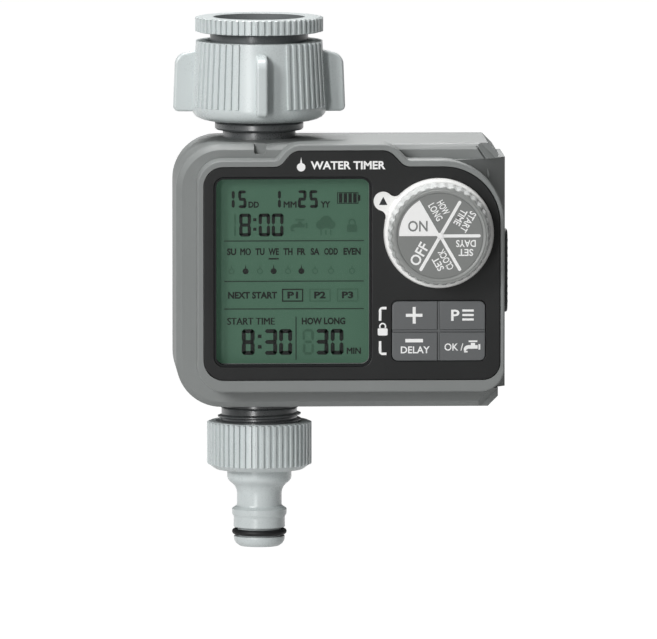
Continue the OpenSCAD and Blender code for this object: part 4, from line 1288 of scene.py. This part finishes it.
def panelPrint():
    y = panelLow[1] - 0.01
    x, cz = keysX - 17.65, keysZ
    mark = []
    for side in (-1, 1):
        hook = bar(x - 1.1, x + 1.3, cz + side * 3.2, cz + side * 7.6, y)
        roundCorner(hook, x - 1.1, cz + side * 7.6, 1.3, 6)
        carve(
            hook,
            block(
                "inside", x - 0.3, x + 2, y - 1, y + 1, cz + min(side * 1.0, side * 6.8),
                cz + max(side * 1.0, side * 6.8),
            ),
        )
        mark.append(hook)
    lockSign(mark, x + 0.1, cz + 0.4, 1.15, y)
    nameZ = panelHigh[2] - 4.7
    mark.append(drop(panelLow[0] + 30.6, nameZ - 0.5, 1.35, y))
    mark.append(word(
        "WATER TIMER", panelLow[0] + 33.6, panelLow[0] + 57.0, nameZ - 1.25, nameZ + 1.35, y, 0.03,
    ))
    settle(merge("panel_print", mark), "root", finishes["print_white"], "dial_white")


keys()
panelPrint()
print("keys done")


# The battery drawer: end plate with a finger grip, open tray, groove for its seal.

def boxRound(name, x0, x1, y0, y1, z0, z1, radius, sides=6):
    piece = block(name, x0, x1, y0, y1, z0, z1)
    if pick(piece, "EDGE", lambda m, d, a: abs(d.x) > 0.99):
        bevelPicked(radius, sides)
    objectMode()
    return piece


def drawer():
    size = dict(
        plate=2.2, corner=3.0, edge=0.45, over=2.0, wall=1.3, grip=1.6, gripHigh=26.2, gripWide=9.0,
        gripUp=3.1, ridge=0.12,
    )
    x0, x1 = drawerLow[0], shellHigh[0]
    y0, y1, z0, z1 = drawerLow[1], drawerHigh[1], drawerLow[2], drawerHigh[2]
    midY, midZ = (y0 + y1) / 2, (z0 + z1) / 2
    over, wall = size["over"], size["wall"]
    plate = boxRound("drawer_skin", x1 - size["plate"], x1, y0, y1, z0, z1, size["corner"])
    pick(plate, "EDGE", lambda m, d, a: near(m.x, x1) and abs(d.x) < 0.1 and a > 40)
    bevelPicked(size["edge"], 3)
    tray = boxRound(
        "tray", x0, x1 - size["plate"] + 0.1, y0 + over, y1 - over, z0 + over, z1 - over, 1.0, 3,
    )
    carve(plate, tray, "UNION")
    carve(
        plate,
        block(
            "room", x0 - 1, x1 - size["plate"], y0 + over + wall, y1, z0 + over + wall,
            z1 - over - wall,
        ),
    )
    ring = block("seal groove", x1 - 4.2, x1 - 2.8, y0 + 1, y1 - 1, z0 + 1, z1 - 1)
    carve(
        ring, block("core", x1 - 5, x1 - 2, y0 + over + 0.6, y1 + 1, z0 + over + 0.6, z1 - over - 0.6),
    )
    carve(plate, ring)
    gripZ = midZ + size["gripUp"]
    outer = x1 + size["grip"] - size["ridge"]
    half, wide = size["gripHigh"] / 2, size["gripWide"] / 2
    grip = boxRound("grip", x1 - 0.2, outer, midY - wide, midY + wide, gripZ - half, gripZ + half, 2.9)
    pick(grip, "EDGE", lambda m, d, a: near(m.x, outer) and a > 40)
    bevelPicked(0.6, 3)
    carve(plate, grip, "UNION")
    for step in range(-4, 5):
        middle = gripZ + step * 2.4
        rib = block(
            "rib", outer - 0.3, x1 + size["grip"], midY - wide + 1.6, midY + wide - 1.6, middle - 0.55,
            middle + 0.55,
        )
        pick(rib, "EDGE", lambda m, d, a: near(m.x, x1 + size["grip"]))
        bevelPicked(0.2, 2)
        carve(plate, rib, "UNION")
    return settle(plate, "drawer", finishes["drawer_dark"], "drawer_dark", "battery_drawer", angle=32)


# The battery: wrapped block with a round and a crown terminal at its inner end.

def cell():
    size = dict(neck=2.3, corner=2.2, terminal=6.35, edge=0.5, lid=0.9)
    x0, x1 = cellLow[0] + size["neck"], cellHigh[0]
    midY, midZ = (cellLow[1] + cellHigh[1]) / 2, (cellLow[2] + cellHigh[2]) / 2
    case = boxRound(
        "battery_case", x0 + 0.5, x1, cellLow[1], cellHigh[1], cellLow[2], cellHigh[2], size["corner"],
    )
    pick(case, "EDGE", lambda m, d, a: (near(m.x, x0 + 0.5) or near(m.x, x1)) and a > 40)
    bevelPicked(size["edge"], 3)
    y0, z0, y1, z1 = (
        v + s * size["lid"]
        for side, s in ((cellLow, 1), (cellHigh, -1)) for v in side[1:]
    )
    lid = boxRound("lid", x0, x0 + 1.2, y0, y1, z0, z1, 1.6, 4)
    carve(case, lid, "UNION")
    settle(case, "drawer", finishes["battery_wrap"], "battery_wrap", "battery", angle=32)
    snaps = []
    for side, crown in ((-1, False), (1, True)):
        if crown:
            snap = turned(
                "snap",
                [
                    (1.75, 0), (2.7, 0), (2.7, 0.5), (2.35, 0.9), (2.85, 2.1), (2.7, 2.3), (2.3, 2.1),
                    (1.9, 1.2), (1.75, 0.6),
                ],
                48,
            )
            for notch in range(3):
                slot = block("slot", -4, 4, -0.22, 0.22, 1.0, 3)
                carve(snap, move(slot, turn=(0, 0, notch * math.pi / 3)))
        else:
            snap = turned(
                "snap",
                [(1.2, 2.3), (1.75, 2.1), (1.95, 1.6), (1.75, 1.0), (1.9, 0.5), (2.6, 0.3), (2.7, 0.0)],
                48, closed=False,
            )
        snaps.append(move(
            snap, (x0 + 0.02, midY, midZ + side * size["terminal"]), (0, -math.pi / 2, 0),
        ))
    settle(merge("battery_snaps", snaps), "drawer", finishes["screw_steel"], "screw_steel", angle=32)


# Housing screws: pan head with a cross recess, threaded shank.

def screws():
    size = dict(head=2.8, high=2.2, shank=1.25, root=0.95, long=15, pitch=0.95, under=-8.0)
    head, shank, root, long = size["head"], size["shank"], size["root"], size["long"]
    first = turned("screw", [
        (0.25, long), (root, long - 1.6), (root, 0.6), (shank, 0.2), (shank, 0), (head - 0.1, 0),
        (head, -0.15), (head - 0.05, -0.9), (2.45, -1.5), (1.9, -1.95), (0.9, -size["high"]),
    ], 48, closed=False)
    for x, y in ((1.65, 0.32), (0.32, 1.65)):
        carve(first, block("cross", -x, x, -y, y, -3, -1.0))
    helix = thread("screw thread", shank, shank - root, 1.2, long - 1.8, size["pitch"], sides=24)
    first = merge("screw", [first, helix])
    placed = []
    for i, (x, z) in enumerate(screwPlaces):  # each screw stopped at its own turn
        placed.append(copyOf(first, (math.pi / 2, 0.4 * i, 0), (x, size["under"], z)))
    bpy.data.objects.remove(first)
    settle(
        merge("case_screws", placed), "root", finishes["screw_steel"], "screw_steel", "housing_screws",
        angle=40,
    )


drawer()
cell()
screws()
print("drawer, battery and screws done")
# Camera and studio

def studio():
    size = dict(distance=4500, azimuth=-2.3, elevation=5.5, frameWidth=207.6, aim=(21.9, 0, -94.5))
    a, e = math.radians(size["azimuth"]), math.radians(size["elevation"])
    back = (math.sin(a) * math.cos(e), -math.cos(a) * math.cos(e), math.sin(e))
    aim = [v * mm for v in size["aim"]]
    nothing()
    bpy.ops.object.camera_add(location=[p + q * size["distance"] * mm for p, q in zip(aim, back)])
    camera = bpy.context.active_object
    camera.rotation_euler = (math.pi / 2 - e, 0, a)
    camera.data.sensor_width = 36
    camera.data.lens = 36 * size["distance"] / size["frameWidth"]
    camera.data.clip_start = 0.1
    camera.data.clip_end = 60
    scene.camera = camera
    lamps = [
        ("key", (-1.5, -1.9, 0.9), (0.5, 0.8), 31),
        ("strip", (-0.85, -2.3, 0.2), (0.22, 1.5), 18),
        ("top", (-0.2, 0.1, 1.7), (0.8, 0.8), 30),
        ("fill", (1.8, -1.6, 0.4), (1.0, 1.0), 0.3),
        ("rear", (0.1, 1.6, 1.3), (0.9, 0.9), 20),
    ]
    for name, place, spread, power in lamps:
        nothing()
        bpy.ops.object.light_add(type="AREA", location=place)
        lamp = bpy.context.active_object
        lamp.name = name
        lamp.data.shape = "RECTANGLE"
        lamp.data.size, lamp.data.size_y = spread
        lamp.data.energy = power
        to = [t - p for t, p in zip((0.02, 0, -0.08), place)]
        lamp.rotation_euler = Vector(to).to_track_quat("-Z", "Y").to_euler()
    nothing()
    world = bpy.data.worlds.new("pale studio")
    world.use_nodes = True
    world.node_tree.nodes["Background"].inputs[0].default_value = (1, 1, 1, 1)
    world.node_tree.nodes["Background"].inputs[1].default_value = 0.05
    scene.world = world
    scene.view_settings.view_transform = "Standard"
    bpy.ops.mesh.primitive_plane_add(size=60, location=(0, 0, (outletLow[2] - 480) * mm))
    floor = bpy.context.active_object
    floor.name = "floor"
    pale = Recipe("pale floor")
    behind = pale.node("ShaderNodeSeparateXYZ", {}, {"Vector": pale.place()}, 1)
    far = pale.node(
        "ShaderNodeMapRange", {"interpolation_type": "SMOOTHSTEP"}, {0: behind, 1: 0.8, 2: 2.2},
    )
    floor.data.materials.append(pale.surface({
        "Base Color": pale.blend(pale.noise(400), (0.34, 0.34, 0.34, 1), (0.38, 0.38, 0.38, 1)),
        "Roughness": 0.9,
        "Emission Color": pale.blend(far, (0.14, 0.14, 0.14, 1), (1, 1, 1, 1)),
        "Emission Strength": 1.0,
    }))


studio()
print("studio ready")
